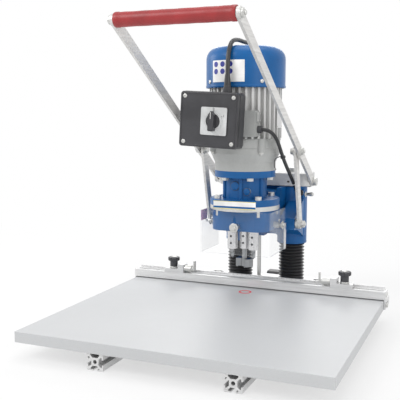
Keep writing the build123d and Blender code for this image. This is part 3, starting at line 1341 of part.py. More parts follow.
def glands():
    """The mains gland on the control box, the lead's gland on the motor and its grommet."""
    x, y = GLAND_LOCAL
    nut = post(x, y, (HALF_HIGH, HALF_HIGH + MAINS_GLAND_H - 5), MAINS_GLAND_R)
    nut += post(x, y, (HALF_HIGH, HALF_HIGH + MAINS_GLAND_H), MAINS_GLAND_R - 2)
    nut -= post(x, y, (HALF_HIGH, HALF_HIGH + MAINS_GLAND_H), MAINS_R)
    span = (TERMINAL_X[1], TERMINAL_X[1] + LEAD_GLAND_LENGTH)
    side = bar_x(span, LEAD_START[1], LEAD_START[2], LEAD_GLAND_R)
    side -= bar_x(span, LEAD_START[1], LEAD_START[2], LEAD_R)
    grommet = bar_y(GROMMET_X, GROMMET_Y, GROMMET_Z, LEAD_R + 3)
    grommet -= post(*COLUMN_PLACES[1], BOSS_Z, BOSS_R)
    return [ROLLED * nut, side, grommet]


# ================================================================ write every node
save("table_board", table_board())
save("profile_left", profile(-1))
save("profile_right", profile(1))
save("table_brackets", *[table_bracket(*place) for place in bracket_places()])
save("base_plate", base_plate())
save("column_left", column(*COLUMN_PLACES[0]))
save("column_right", column(*COLUMN_PLACES[1]))
save("stand_screws", *stand_screws())
save("crosshead", crosshead())
save("pivot_bolts", *[pivot_bolt(side) for side in SIDES])
save("bellows", *[bellows(*place) for place in COLUMN_PLACES])
save("return_springs", *[return_spring(*place) for place in COLUMN_PLACES])
save("depth_rod", depth_rod())
save("depth_stop", depth_collar(), depth_screw())

save("head_casting", head_casting())
save("guide_bushes", *guide_bushes())
save("cross_shaft", cross_shaft())
save("gear_housing", gear_housing())
save("ring_plate", ring_plate())
save("motor_adapter", motor_adapter())
save("head_screws", *head_screws())
save("motor_shield", motor_shield())
save("motor_housing", motor_housing())
save("fan_cover", fan_cover())
save("terminal_box", terminal_box())
save("control_box", control_box())
save("control_lid", control_lid())
save("switch_plate", switch_plate())
save("switch_knob", switch_knob())
save("cable_glands", *glands())

save("motor_rotor", motor_rotor())
for spindle_name in SPINDLE_PLACES:
    save("spindle_" + spindle_name, spindle(spindle_name))
save("hinge_cutter", hinge_cutter())
save("drill_left", twist_drill("left"))
save("drill_right", twist_drill("right"))

save("lever_arm_left", lever_arm(-1))
save("lever_arm_right", lever_arm(1))
save("lever_grip", lever_grip())
save("grip_rod", grip_rod())
save("link_left", link(-1))
save("link_right", link(1))
save("link_pins", *[link_pin(side) for side in SIDES])

save("fence_rail", fence_rail())
save("fence_end_plates", *[fence_end_plate(side) for side in SIDES])
save("fence_bolts", *[fence_bolt(side) for side in SIDES])
for stop_name in STOP_PLACES:
    save("stop_block_" + stop_name, stop_block(stop_name))
    save("stop_knob_" + stop_name, stop_knob(stop_name))
    save("stop_flip_" + stop_name, stop_flip(stop_name))

save("guard_shield", guard_shield())
save("guard_strip", guard_strip())

save("mains_lead_head", tube("mains_lead_head", MAINS_HEAD_ROUTE, MAINS_R))
save("mains_lead_drop", tube("mains_lead_drop", MAINS_DROP_ROUTE, MAINS_R))
save("mains_coil", mains_coil())
save("mains_plug", mains_plug())
save("motor_lead", tube("motor_lead", LEAD_ROUTE, LEAD_R))
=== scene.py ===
import json
import math

import bmesh
import bpy
from mathutils import Matrix, Vector


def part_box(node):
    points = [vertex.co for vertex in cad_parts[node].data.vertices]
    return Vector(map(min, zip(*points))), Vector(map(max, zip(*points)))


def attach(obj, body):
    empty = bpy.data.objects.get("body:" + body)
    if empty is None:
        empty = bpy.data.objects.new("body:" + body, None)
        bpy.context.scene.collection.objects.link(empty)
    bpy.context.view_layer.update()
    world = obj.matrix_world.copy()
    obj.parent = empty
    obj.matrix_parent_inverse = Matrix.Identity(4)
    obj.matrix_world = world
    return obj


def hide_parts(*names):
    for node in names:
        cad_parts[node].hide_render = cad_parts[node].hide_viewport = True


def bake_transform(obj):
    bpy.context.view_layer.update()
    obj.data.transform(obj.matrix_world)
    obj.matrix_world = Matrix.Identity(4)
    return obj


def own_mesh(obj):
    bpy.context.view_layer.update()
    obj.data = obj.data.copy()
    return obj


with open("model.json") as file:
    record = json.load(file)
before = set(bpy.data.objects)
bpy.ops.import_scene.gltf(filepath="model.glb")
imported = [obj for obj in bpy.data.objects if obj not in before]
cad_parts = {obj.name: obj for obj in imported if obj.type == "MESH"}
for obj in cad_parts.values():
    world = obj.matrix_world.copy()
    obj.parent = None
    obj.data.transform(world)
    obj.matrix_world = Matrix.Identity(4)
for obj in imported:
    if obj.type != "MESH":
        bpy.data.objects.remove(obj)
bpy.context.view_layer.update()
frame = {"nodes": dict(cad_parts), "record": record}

# Every piece is built in millimetres in the table's own frame: X from the machine's middle
# plane, Y from the table's front edge, Z from its top face. TABLE moves it to the frame. The
# switch's pieces are built from the middle of the switch box's lid instead, and LID moves them.
MM = 0.001
board_low, board_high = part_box("table_board")
TABLE = Matrix.Translation((0, board_low.y, board_high.z)) @ Matrix.Scale(MM, 4)
FLOOR_Z = -board_high.z / MM

COLUMNS = ((-59.5, 541.0), (59.5, 541.0))
DRIVE_Y = 397.0
CONTROL_MIDDLE = (-34.5, 282.0, 356.5)
CONTROL_ROLL = 3.0
CONTROL_HALF = (58.0, 52.0)
SWITCH_PLACE = (12.5, -2.0)
LID = TABLE @ Matrix.Translation(CONTROL_MIDDLE) @ Matrix.Rotation(math.radians(CONTROL_ROLL), 4, "Y")
LEVER_PIVOT = (530.0, 224.0)
GRIP = (60.0, 517.0)
LEVER_ANGLE = math.atan2(GRIP[1] - LEVER_PIVOT[1], GRIP[0] - LEVER_PIVOT[0])
LINK_REACH = 132.0
LINK_TOP = (
    LEVER_PIVOT[0] + LINK_REACH * math.cos(LEVER_ANGLE),
    LEVER_PIVOT[1] + LINK_REACH * math.sin(LEVER_ANGLE),
)
LINK_FOOT = (458.0, 142.0)
GUARD_BOLT_Z = 146.0
FENCE_END_GAP = 1.5
STOP_KNOB_Y = 454.5
STOP_KNOBS = (("left", -186.0), ("right", 195.0))
FLIP_AXIS = (452.0, 28.0)
FLIP_BOLTS = (("left", -141.6, 1), ("right", 150.6, -1))
CHUCKS = (
    ("drill_left", "left_spindle", 10.5),
    ("hinge_cutter", "drive_spindle", 9.5),
    ("drill_right", "right_spindle", 10.5),
)
SET_SCREW_Z = (107.0, 121.0)
# The dark discs in the chucks' bores: the set screws' black and painted shade of the bores.
SCREW_SHADE_R = 2.3
SCREW_SHADE_DEPTH = 2.3
SCREW_SHADE_LENGTH = 1.7
STRIP_X = (-41.0, 46.0)
STRIP_Z = (184.5, 198.5)
LID_SCREW_INSET = 9.0
LID_BEAD_INSET = 3.4
RIB_REACH = 32.5
SIDES = (-1, 1)


# ---------------------------------------------------------------- camera
CAMERA_PLACE = (473.0, -961.0, 369.0)
CAMERA_YAW = 22.84
CAMERA_PITCH = -6.96
CAMERA_LENS = 64.06


def make_camera():
    data = bpy.data.cameras.new("camera")
    data.lens = CAMERA_LENS
    data.sensor_width = 36.0
    camera = bpy.data.objects.new("camera", data)
    bpy.context.scene.collection.objects.link(camera)
    yaw, pitch = math.radians(CAMERA_YAW), math.radians(CAMERA_PITCH)
    ahead = Vector((-math.sin(yaw) * math.cos(pitch), math.cos(yaw) * math.cos(pitch), math.sin(pitch)))
    camera.location = TABLE @ Vector(CAMERA_PLACE)
    camera.rotation_mode = "QUATERNION"
    camera.rotation_quaternion = ahead.to_track_quat("-Z", "Y")
    bpy.context.scene.camera = camera


make_camera()


# ---------------------------------------------------------------- materials
class Finish:
    """A Principled material whose nodes are added one at a time."""

    def __init__(self, name, rough, metallic=0.0):
        self.material = bpy.data.materials.new(name)
        self.material.use_nodes = True
        self.nodes = self.material.node_tree.nodes
        self.links = self.material.node_tree.links
        self.shader = self.nodes["Principled BSDF"]
        self.shader.inputs["Roughness"].default_value = rough
        self.shader.inputs["Metallic"].default_value = metallic
        self.heights = []

    def noise(self, scale, detail=3.0, stretch=(1, 1, 1), turn=(0, 0, 0)):
        """Noise in the frame's own space, stretched along an axis where stretch is small."""
        place = self.nodes.new("ShaderNodeTexCoord")
        mapping = self.nodes.new("ShaderNodeMapping")
        mapping.inputs["Scale"].default_value = stretch
        mapping.inputs["Rotation"].default_value = turn
        texture = self.nodes.new("ShaderNodeTexNoise")
        texture.inputs["Scale"].default_value = scale
        texture.inputs["Detail"].default_value = detail
        self.links.new(place.outputs["Object"], mapping.inputs["Vector"])
        self.links.new(mapping.outputs["Vector"], texture.inputs["Vector"])
        return texture.outputs["Fac"]

    def between(self, fac, low, high, dark, light):
        """A colour ramp from dark to light between two values of fac."""
        ramp = self.nodes.new("ShaderNodeValToRGB")
        ramp.color_ramp.elements[0].position = low
        ramp.color_ramp.elements[1].position = high
        ramp.color_ramp.elements[0].color = (*dark, 1)
        ramp.color_ramp.elements[1].color = (*light, 1)
        self.links.new(fac, ramp.inputs["Fac"])
        return ramp.outputs["Color"]

    def multiply(self, first, second):
        mix = self.nodes.new("ShaderNodeMix")
        mix.data_type = "RGBA"
        mix.blend_type = "MULTIPLY"
        mix.inputs["Factor"].default_value = 1.0
        colours = [socket for socket in mix.inputs if socket.type == "RGBA"]
        self.links.new(first, colours[0])
        self.links.new(second, colours[1])
        return [socket for socket in mix.outputs if socket.type == "RGBA"][0]

    def colour(self, output):
        self.links.new(output, self.shader.inputs["Base Color"])

    def rough_from(self, fac, low, high):
        spread = self.nodes.new("ShaderNodeMapRange")
        spread.inputs["To Min"].default_value = low
        spread.inputs["To Max"].default_value = high
        self.links.new(fac, spread.inputs["Value"])
        self.links.new(spread.outputs["Result"], self.shader.inputs["Roughness"])

    def bump(self, fac, strength, depth):
        """A bump of that depth in metres; several are chained."""
        node = self.nodes.new("ShaderNodeBump")
        node.inputs["Strength"].default_value = strength
        node.inputs["Distance"].default_value = depth
        self.links.new(fac, node.inputs["Height"])
        if self.heights:
            self.links.new(self.heights[-1], node.inputs["Normal"])
        self.heights.append(node.outputs["Normal"])
        self.links.new(node.outputs["Normal"], self.shader.inputs["Normal"])

    def set(self, **values):
        for name, value in values.items():
            self.shader.inputs[name.replace("_", " ")].default_value = value


def shade(colour, share):
    """The colour with each channel scaled by the share."""
    return tuple(channel * share for channel in colour)


def laminate():
    """The board's light grey laminate, with a faint speckle and a fine grain."""
    finish = Finish("light_grey_laminate", 0.42)
    base = (0.60, 0.61, 0.62)
    broad = finish.between(finish.noise(4.0), 0.35, 0.65, shade(base, 0.97), base)
    fine = finish.between(finish.noise(900.0, 6.0), 0.35, 0.65, (0.94, 0.94, 0.94), (1, 1, 1))
    finish.colour(finish.multiply(broad, fine))
    finish.rough_from(finish.noise(40.0), 0.38, 0.5)
    finish.bump(finish.noise(1400.0, 2.0), 0.12, 0.0001)
    return finish.material


def metal(name, base, rough, stretch, turn=(0, 0, 0), contrast=0.86, metallic=1.0, scale=260.0):
    """A metal with fine lines along the axis whose stretch is small, and broad dull patches."""
    finish = Finish(name, rough, metallic)
    lines = finish.between(finish.noise(scale, 4.0, stretch, turn), 0.3, 0.7, shade(base, contrast), base)
    patches = finish.between(finish.noise(14.0, 5.0), 0.35, 0.7, (0.9, 0.9, 0.9), (1, 1, 1))
    finish.colour(finish.multiply(lines, patches))
    finish.rough_from(finish.noise(scale * 0.6, 4.0, stretch, turn), rough * 0.8, rough * 1.25)
    finish.bump(finish.noise(scale, 3.0, stretch, turn), 0.08, 0.0001)
    return finish.material


def paint(name, base, rough, grain, depth, coat=0.0, gloss=0.5):
    """Paint on a casting: soft waves in the gloss, small pores and dust-dulled patches."""
    finish = Finish(name, rough)
    broad = finish.between(finish.noise(22.0, 4.0), 0.3, 0.7, shade(base, 0.86), base)
    fine = finish.between(finish.noise(grain * 2.5, 5.0), 0.3, 0.6, (0.9, 0.9, 0.9), (1, 1, 1))
    finish.colour(finish.multiply(broad, fine))
    finish.rough_from(finish.noise(60.0, 4.0), rough * 0.8, rough * 1.3)
    finish.bump(finish.noise(grain, 4.0), 0.25, depth)
    finish.bump(finish.noise(40.0, 2.0), 0.15, 0.0006)
    finish.set(Coat_Weight=coat, Coat_Roughness=0.15, Specular_IOR_Level=gloss)
    return finish.material


def moulded(name, base, rough, grain=1600.0, depth=0.00008):
    """Moulded plastic or rubber with an even spark-eroded grain."""
    finish = Finish(name, rough)
    cells = finish.nodes.new("ShaderNodeTexVoronoi")
    cells.inputs["Scale"].default_value = grain
    place = finish.nodes.new("ShaderNodeTexCoord")
    finish.links.new(place.outputs["Object"], cells.inputs["Vector"])
    worn = finish.between(finish.noise(30.0, 5.0), 0.4, 0.75, base, shade(base, 1.35))
    finish.colour(worn)
    finish.rough_from(finish.noise(80.0, 4.0), rough * 0.85, rough * 1.15)
    finish.bump(cells.outputs["Distance"], 0.3, depth)
    return finish.material


def clear_sheet():
    """Clear polycarbonate: nearly unseen face on, brighter where it is seen at a slant."""
    finish = Finish("clear_sheet", 0.08)
    tint = finish.between(finish.noise(30.0), 0.3, 0.7, (0.84, 0.87, 0.89), (0.92, 0.94, 0.95))
    finish.colour(tint)
    facing = finish.nodes.new("ShaderNodeLayerWeight")
    facing.inputs["Blend"].default_value = 0.35
    spread = finish.nodes.new("ShaderNodeMapRange")
    spread.inputs["To Min"].default_value = 0.022
    spread.inputs["To Max"].default_value = 0.26
    finish.links.new(facing.outputs["Facing"], spread.inputs["Value"])
    finish.links.new(spread.outputs["Result"], finish.shader.inputs["Alpha"])
    finish.set(IOR=1.58)
    return finish.material


ARM_TURN = (-LEVER_ANGLE, 0, 0)
FINISHES = {
    "laminate": laminate(),
    "aluminium": metal("anodised_extrusion", (0.82, 0.82, 0.82), 0.42, (0.03, 1, 1), metallic=0.65),
    "blue_paint": paint("blue_casting_paint", (0.003, 0.118, 0.365), 0.36, 420.0, 0.00025, 0.12, 0.3),
    "motor_grey": paint("grey_cast_paint", (0.49, 0.50, 0.49), 0.45, 300.0, 0.0004, 0.1),
    "steel": metal("zinc_plated_steel", (0.70, 0.70, 0.68), 0.36, (1, 1, 1), metallic=0.8, scale=420.0),
    "ground_steel": metal("ground_steel", (0.72, 0.72, 0.73), 0.2, (1, 1, 0.05)),
    "rotor_steel": metal("turned_rotor", (0.42, 0.42, 0.43), 0.4, (1, 1, 12)),
    "tool_steel": metal("tool_steel", (0.36, 0.37, 0.38), 0.34, (1, 1, 0.2)),
    "bronze": metal("bronze_bush", (0.62, 0.42, 0.20), 0.35, (1, 1, 6)),
    "black_plastic": moulded("black_moulded_plastic", (0.044, 0.044, 0.049), 0.40),
    "grey_plastic": moulded("light_grey_plastic", (0.62, 0.63, 0.63), 0.5),
    "red_grip": moulded("red_grip_sleeve", (0.31, 0.024, 0.026), 0.4, 700.0, 0.0002),
    "black_rubber": moulded("black_rubber", (0.028, 0.028, 0.030), 0.38, 900.0),
    "clear_plastic": clear_sheet(),
}
ARM_STEEL = metal("brushed_arm_steel", (0.82, 0.81, 0.79), 0.38, (1, 0.04, 1), ARM_TURN, 0.8, 0.5)
PLATE_STEEL = metal("milled_plate", (0.76, 0.76, 0.76), 0.4, (0.05, 1, 1), metallic=0.6)
# A lighter copy of the grey cast paint: painted light on the motor's finned housing, lifting the shade that
# falls between its fins.
GREY_PAINT_WITH_PAINTED_LIGHT = paint("grey_cast_paint_with_painted_light", (0.76, 0.76, 0.75), 0.45, 300.0, 0.0004, 0.1)
WHITE_LABEL = moulded("white_plate", (0.80, 0.80, 0.79), 0.4, 2500.0, 0.00002)
BLUE_SPOT = moulded("dark_blue_spot", (0.035, 0.045, 0.28), 0.4, 2500.0, 0.00002)
YELLOW_EDGE = moulded("yellow_edge", (0.72, 0.62, 0.12), 0.4, 2500.0, 0.00002)
RED_MARK = moulded("red_mark", (0.70, 0.012, 0.035), 0.4, 2500.0, 0.00002)
PINK_FILM = moulded("pink_film", (0.46, 0.22, 0.46), 0.45, 2500.0, 0.00002)
WHITE_NYLON = moulded("white_nylon", (0.75, 0.75, 0.73), 0.45)
DARK_GREY = moulded("dark_grey_plastic", (0.06, 0.06, 0.065), 0.45)

NODE_FINISHES = {
    # The finned housing and the crosshead take the lighter copy of the grey paint. It is painted light, and
    # on the crosshead it is partly its own lighter grey too.
    "motor_housing": GREY_PAINT_WITH_PAINTED_LIGHT,
    "crosshead": GREY_PAINT_WITH_PAINTED_LIGHT,
    "lever_arm_left": ARM_STEEL,
    "lever_arm_right": ARM_STEEL,
    "link_left": ARM_STEEL,
    "link_right": ARM_STEEL,
    "base_plate": PLATE_STEEL,
}


def smooth(mesh, degrees):
    """Soft shading, except at edges sharper than the angle."""
    mesh.shade_smooth()
    mesh.set_sharp_from_angle(angle=math.radians(degrees))


def dress_nodes():
    """Gives every carried-over node its own finish, or else the finish of its slot."""
    for row in frame["record"]["subparts"]:
        node = frame["nodes"][row["node"]]
        finish = NODE_FINISHES.get(row["node"], FINISHES[row["material_slot"]])
        node.data.materials.clear()
        node.data.materials.append(finish)


dress_nodes()


# ---------------------------------------------------------------- mesh building
def add_box(bm, low, high, round_by=0.0, steps=2):
    """A box between two corners, its edges rounded."""
    low, high = Vector(low), Vector(high)
    made = bmesh.ops.create_cube(bm, size=1.0)
    verts = made["verts"]
    bmesh.ops.scale(bm, vec=high - low, verts=verts)
    bmesh.ops.translate(bm, vec=(low + high) / 2, verts=verts)
    if round_by:
        edges = list({edge for vert in verts for edge in vert.link_edges})
        bmesh.ops.bevel(bm, geom=edges, offset=round_by, segments=steps, profile=0.5, affect="EDGES")


def add_turned(bm, base, axis, profile, steps=40):
    """Turns a profile of (radius, distance along the axis) round an axis through base."""
    turn = Vector(axis).normalized().to_track_quat("Z", "Y").to_matrix()
    rings = []
    for radius, along in profile:
        if radius < 1e-6:
            rings.append([bm.verts.new(Vector(base) + turn @ Vector((0, 0, along)))])
            continue
        ring = []
        for number in range(steps):
            angle = 2 * math.pi * number / steps
            spot = Vector((radius * math.cos(angle), radius * math.sin(angle), along))
            ring.append(bm.verts.new(Vector(base) + turn @ spot))
        rings.append(ring)
    for first, second in zip(rings, rings[1:]):
        for number in range(steps):
            after = (number + 1) % steps
            corners = [first[number % len(first)], first[after % len(first)]]
            corners += [second[after % len(second)], second[number % len(second)]]
            unique = list(dict.fromkeys(corners))
            if len(unique) > 2:
                bm.faces.new(unique)
    for ring, flip in ((rings[0], True), (rings[-1], False)):
        if len(ring) > 2:
            bm.faces.new(reversed(ring) if flip else ring)


def add_pin(bm, base, axis, radius, length, chamfer=0.4, steps=32):
    """A short rod with chamfered ends."""
    shoulder = length - chamfer
    profile = [(radius - chamfer, 0), (radius, chamfer), (radius, shoulder), (radius - chamfer, length)]
    add_turned(bm, base, axis, profile, steps)


def add_hex(bm, base, axis, radius, length, chamfer=0.8):
    """A hexagon head whose top corners are turned off, with a washer face below."""
    profile = [(radius * 0.9, 0), (radius, chamfer * 0.6), (radius, length - chamfer)]
    profile.append((radius * 0.86, length))
    add_turned(bm, base, axis, profile, 6)


def add_pan_head(bm, base, axis, radius, height, recess=True):
    """A domed screw head, standing off the surface along the axis, with a round recess or without."""
    dome = [(radius, 0), (radius, height * 0.3), (radius * 0.85, height * 0.75)]
    dome.append((radius * 0.45, height))
    if recess:
        dome += [(radius * 0.3, height), (radius * 0.22, height * 0.35), (0, height * 0.3)]
    else:
        dome.append((0, height))
    add_turned(bm, base, axis, dome, 24)


def add_ring(bm, base, axis, radius, thick, steps=48, sides=12):
    """A torus round an axis through base."""
    turn = Vector(axis).normalized().to_track_quat("Z", "Y").to_matrix()
    grid = []
    for number in range(steps):
        around = 2 * math.pi * number / steps
        ring = []
        for side in range(sides):
            angle = 2 * math.pi * side / sides
            reach = radius + thick * math.cos(angle)
            spot = Vector((reach * math.cos(around), reach * math.sin(around), thick * math.sin(angle)))
            ring.append(bm.verts.new(Vector(base) + turn @ spot))
        grid.append(ring)
    for number in range(steps):
        here, there = grid[number], grid[(number + 1) % steps]
        for side in range(sides):
            after = (side + 1) % sides
            bm.faces.new([here[side], there[side], there[after], here[after]])


def add_tube(bm, points, radius, sides=16):
    """A round tube along close points, closed at both ends."""
    points = [Vector(point) for point in points]
    tangents = []
    for number in range(len(points)):
        before = points[max(number - 1, 0)]
        after = points[min(number + 1, len(points) - 1)]
        tangents.append((after - before).normalized())
    side = tangents[0].orthogonal().normalized()
    rings = []
    for point, tangent in zip(points, tangents):
        side = (side - tangent * side.dot(tangent)).normalized()
        up = tangent.cross(side)
        ring = []
        for number in range(sides):
            angle = 2 * math.pi * number / sides
            ring.append(bm.verts.new(point + radius * (math.cos(angle) * side + math.sin(angle) * up)))
        rings.append(ring)
    for first, second in zip(rings, rings[1:]):
        for number in range(sides):
            after = (number + 1) % sides
            bm.faces.new([first[number], first[after], second[after], second[number]])
    bm.faces.new(list(reversed(rings[0])))
    bm.faces.new(rings[-1])


def piece(name, body, slot, build, finish=None, place=TABLE, degrees=32):
    """Makes one piece from a function that fills a bmesh, and lets it ride on a body."""
    bm = bmesh.new()
    build(bm)
    bm.transform(place)
    bmesh.ops.recalc_face_normals(bm, faces=bm.faces)
    mesh = bpy.data.meshes.new(name)
    bm.to_mesh(mesh)
    bm.free()
    mesh.materials.append(finish or FINISHES[slot])
    smooth(mesh, degrees)
    obj = bpy.data.objects.new(name, mesh)
    bpy.context.scene.collection.objects.link(obj)
    if body:
        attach(obj, body)
    return obj


# ---------------------------------------------------------------- mains lead
MAINS_R = 4.25
SPLIT = (-6.0, 490.0, 398.0)
MAINS_EXIT = TABLE.inverted() @ (LID @ Vector((26.0, 25.0, CONTROL_HALF[1] + 14.0)))
HEAD_ROUTE = [
    tuple(MAINS_EXIT),
    (-5.0, 307.0, 448.0),
    (-5.5, 312.0, 482.0),
    (-6.0, 330.0, 505.0),
    (-6.5, 362.0, 511.0),
    (-7.0, 402.0, 510.0),
    (-7.0, 440.0, 510.0),
    (-7.0, 472.0, 500.0),
    (-6.5, 488.0, 472.0),
    (-6.0, 490.0, 436.0),
]
DROP_ROUTE = [
    (-6.0, 490.0, 360.0),
    (-5.0, 494.0, 324.0),
    (-4.0, 508.0, 292.0),
    (-2.0, 532.0, 270.0),
    (0.0, 562.0, 263.0),
    (2.0, 587.0, 250.0),
    (4.0, 600.0, 222.0),
    (7.0, 604.5, 180.0),
    (12.0, 606.5, 134.0),
    (18.0, 607.5, 88.0),
    (23.0, 607.5, 46.0),
    (28.0, 606.5, 14.0),
    (34.5, 603.0, -11.0),
    (47.0, 597.5, -28.0),
]
COIL_CENTRE = (62.0, 641.0)
COIL_TURNS = 3.5
COIL_STEPS = 16
COIL_MIDDLE_R = 50.0
PLUG_FACE = (8.0, 695.0, -32.0)


def ease(value, low, high):
    """How far the value has come from low to high, as 0 to 1 with a soft start and end."""
    share = min(1.0, max(0.0, (value - low) / (high - low)))
    return share * share * (3 - 2 * share)


def coil_points():
    """Turns wound two wide and two high: top inside, bottom inside, bottom outside, top outside."""
    lower = FLOOR_Z + MAINS_R + 0.3
    lift = 2 * MAINS_R + 0.1
    points = []
    for number in range(round(COIL_TURNS * COIL_STEPS) + 1):
        turn = number / COIL_STEPS
        angle = math.radians(360 * turn - 90)
        wide = 2 * ease(turn, 1.84, 2.0) - 1
        radius = (COIL_MIDDLE_R + wide * (MAINS_R + 0.1)) / math.cos(math.pi / COIL_STEPS) ** 0.7
        height = lower + lift * (1 - ease(turn, 0.84, 1.0) + ease(turn, 2.84, 3.0))
        x = COIL_CENTRE[0] + radius * math.cos(angle)
        points.append((x, COIL_CENTRE[1] + radius * math.sin(angle), height))
    return points


def spline_points(route, resolution=10):
    """The points of one smooth NURBS line with the route as its control points."""
    curve = bpy.data.curves.new("route", "CURVE")
    curve.dimensions = "3D"
    curve.resolution_u = resolution
    spline = curve.splines.new("NURBS")
    spline.points.add(len(route) - 1)
    for point, place in zip(spline.points, route):
        point.co = (*place, 1)
    spline.order_u = 3
    spline.use_endpoint_u = True
    holder = bpy.data.objects.new("route", curve)
    bpy.context.scene.collection.objects.link(holder)
    bpy.context.view_layer.update()
    evaluated = holder.evaluated_get(bpy.context.evaluated_depsgraph_get())
    line = bpy.data.meshes.new_from_object(evaluated)
    points = [vert.co.copy() for vert in line.vertices]
    bpy.data.meshes.remove(line)
    bpy.data.objects.remove(holder)
    bpy.data.curves.remove(curve)
    return points


def mains_lead():
    """The mains lead, from the switch box over the motor and down to its coil, with its sleeves."""
    route = HEAD_ROUTE + [SPLIT] + DROP_ROUTE + coil_points()
    route += [(36.0, 695.6, -35.0), PLUG_FACE]
    line = spline_points(route)
    cord = piece("mains_cord", None, "black_rubber", lambda bm: add_tube(bm, line, MAINS_R), degrees=60)
    relief = piece("plug_sleeve", "stand", "black_rubber", plug_sleeve)
    exit_sleeve = piece("mains_exit_sleeve", "head", "black_rubber", gland_sleeve)
    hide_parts("mains_lead_head", "mains_lead_drop", "mains_coil")
    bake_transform(cord)


def plug_sleeve(bm):
    """The tapered sleeve with its rings, from the plug to the cord."""
    profile = [(7.5, 0), (8.0, 2)]
    for number in range(4):
        along = 4 + 6 * number
        radius = 7.6 - 0.8 * number
        groove = radius - 1.4
        profile += [(radius, along), (radius, along + 3.4), (groove, along + 3.8), (groove, along + 5.6)]
    profile.append((4.6, 29))
    add_turned(bm, PLUG_FACE, (1, 0.01, -0.1), profile, 28)


def gland_sleeve(bm):
    """The tapered sleeve over the gland's end where the lead leaves the switch box."""
    base = Vector(HEAD_ROUTE[0])
    ahead = Vector(HEAD_ROUTE[1]) - base
    profile = [(6.6, 0), (6.8, 2), (6.2, 9), (5.4, 16), (4.7, 22)]
    add_turned(bm, base - ahead.normalized() * 2, ahead, profile, 28)


mains_lead()


# ---------------------------------------------------------------- bellows and springs
BELLOWS_LOW = 4.4
BELLOWS_HIGH = 88.2
BELLOWS_RINGS = 12
BELLOWS_CREST_R = 27.8
BELLOWS_ROOT_R = 21.6
BELLOWS_WALL = 1.3
BELLOWS_END = 0.5
# One fold: how far along its pitch, and how far out from root to crest.
BELLOWS_FOLD = (
    (0.08, 0.0), (0.22, 0.35), (0.36, 0.86), (0.5, 1.0),
    (0.64, 0.86), (0.78, 0.35), (0.92, 0.0),
)
SPRING_TURNS = 10
SPRING_STEPS = 20
SPRING_R = 16.0
SPRING_WIRE_R = 1.5
SPRING_INSET = 2.0


def bellows_outline():
    """Rounded folds, outside upwards and inside down again."""
    pitch = (BELLOWS_HIGH - BELLOWS_LOW) / BELLOWS_RINGS
    outside = [(BELLOWS_ROOT_R + BELLOWS_END, BELLOWS_LOW)]
    for ring in range(BELLOWS_RINGS):
        foot = BELLOWS_LOW + ring * pitch
        for share, reach in BELLOWS_FOLD:
            radius = BELLOWS_ROOT_R + reach * (BELLOWS_CREST_R - BELLOWS_ROOT_R)
            outside.append((radius, foot + share * pitch))
    outside.append((BELLOWS_ROOT_R + BELLOWS_END, BELLOWS_HIGH))
    inside = [(radius - BELLOWS_WALL, along) for radius, along in reversed(outside)]
    return outside + inside


def add_closed_turned(bm, base, outline, steps):
    """Turns a closed outline round the upright axis through base, as a shell with two skins."""
    rings = []
    for radius, along in outline:
        ring = []
        for number in range(steps):
            angle = 2 * math.pi * number / steps
            place = (base[0] + radius * math.cos(angle), base[1] + radius * math.sin(angle), along)
            ring.append(bm.verts.new(place))
        rings.append(ring)
    for first, second in zip(rings, rings[1:] + rings[:1]):
        for number in range(steps):
            after = (number + 1) % steps
            bm.faces.new([first[number], first[after], second[after], second[number]])


def spring_points(x, y):
    """The helix of one return spring inside its bellows."""
    low, high = BELLOWS_LOW + SPRING_INSET, BELLOWS_HIGH - SPRING_INSET
    whole = SPRING_TURNS * SPRING_STEPS
    points = []
    for number in range(whole + 1):
        angle = 2 * math.pi * number / SPRING_STEPS
        height = low + (high - low) * number / whole
        points.append((x + SPRING_R * math.cos(angle), y + SPRING_R * math.sin(angle), height))
    return points


def bellows_and_springs():
    """A bellows and a return spring round each column, in place of the carried-over ones."""
    for side, (x, y) in zip(("left", "right"), COLUMNS):
        sleeve = piece("bellows_" + side, "stand", "black_rubber",
                       lambda bm: add_closed_turned(bm, (x, y), bellows_outline(), 56), degrees=60)
        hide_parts("bellows")
        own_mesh(sleeve)
        spring = piece("return_spring_" + side, "stand", "steel",
                       lambda bm: add_tube(bm, spring_points(x, y), SPRING_WIRE_R, 10), degrees=60)
        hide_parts("return_springs")
        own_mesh(spring)


bellows_and_springs()


# ---------------------------------------------------------------- motor
FAN_COVER_R = 78.5
FAN_COVER_LOW = 418.0


def on_motor(angle, radius, z):
    """A place at an angle round the motor's axis, where -90 degrees faces the operator."""
    turned = math.radians(angle)
    return Vector((radius * math.cos(turned), DRIVE_Y + radius * math.sin(turned), z))


def away(angle):
    """The level direction out from the motor's axis at an angle."""
    return (math.cos(math.radians(angle)), math.sin(math.radians(angle)), 0)


def add_curved_plate(bm, angles, z, radius, thick, steps=24):
    """A thin plate bent round the motor between two angles and two heights."""
    columns = []
    for number in range(steps + 1):
        angle = angles[0] + (angles[1] - angles[0]) * number / steps
        column = [on_motor(angle, reach, height) for reach in (radius, radius + thick) for height in z]
        columns.append([bm.verts.new(place) for place in column])
    for first, second in zip(columns, columns[1:]):
        for a, b in ((0, 1), (1, 3), (3, 2), (2, 0)):
            bm.faces.new([first[a], first[b], second[b], second[a]])
    for column in (columns[0], columns[-1]):
        bm.faces.new([column[0], column[1], column[3], column[2]])


def add_curved_spot(bm, angle, z, radius, size, thick):
    """A round spot that lies on the curved plate."""
    steps = 28
    lists = []
    for reach in (radius, radius + thick):
        ring = []
        for number in range(steps):
            turn = 2 * math.pi * number / steps
            shift = math.degrees(size * math.cos(turn) / radius)
            ring.append(bm.verts.new(on_motor(angle + shift, reach, z + size * math.sin(turn))))
        lists.append(ring)
    for number in range(steps):
        after = (number + 1) % steps
        bm.faces.new([lists[0][number], lists[0][after], lists[1][after], lists[1][number]])
    bm.faces.new(lists[1])
    bm.faces.new(list(reversed(lists[0])))


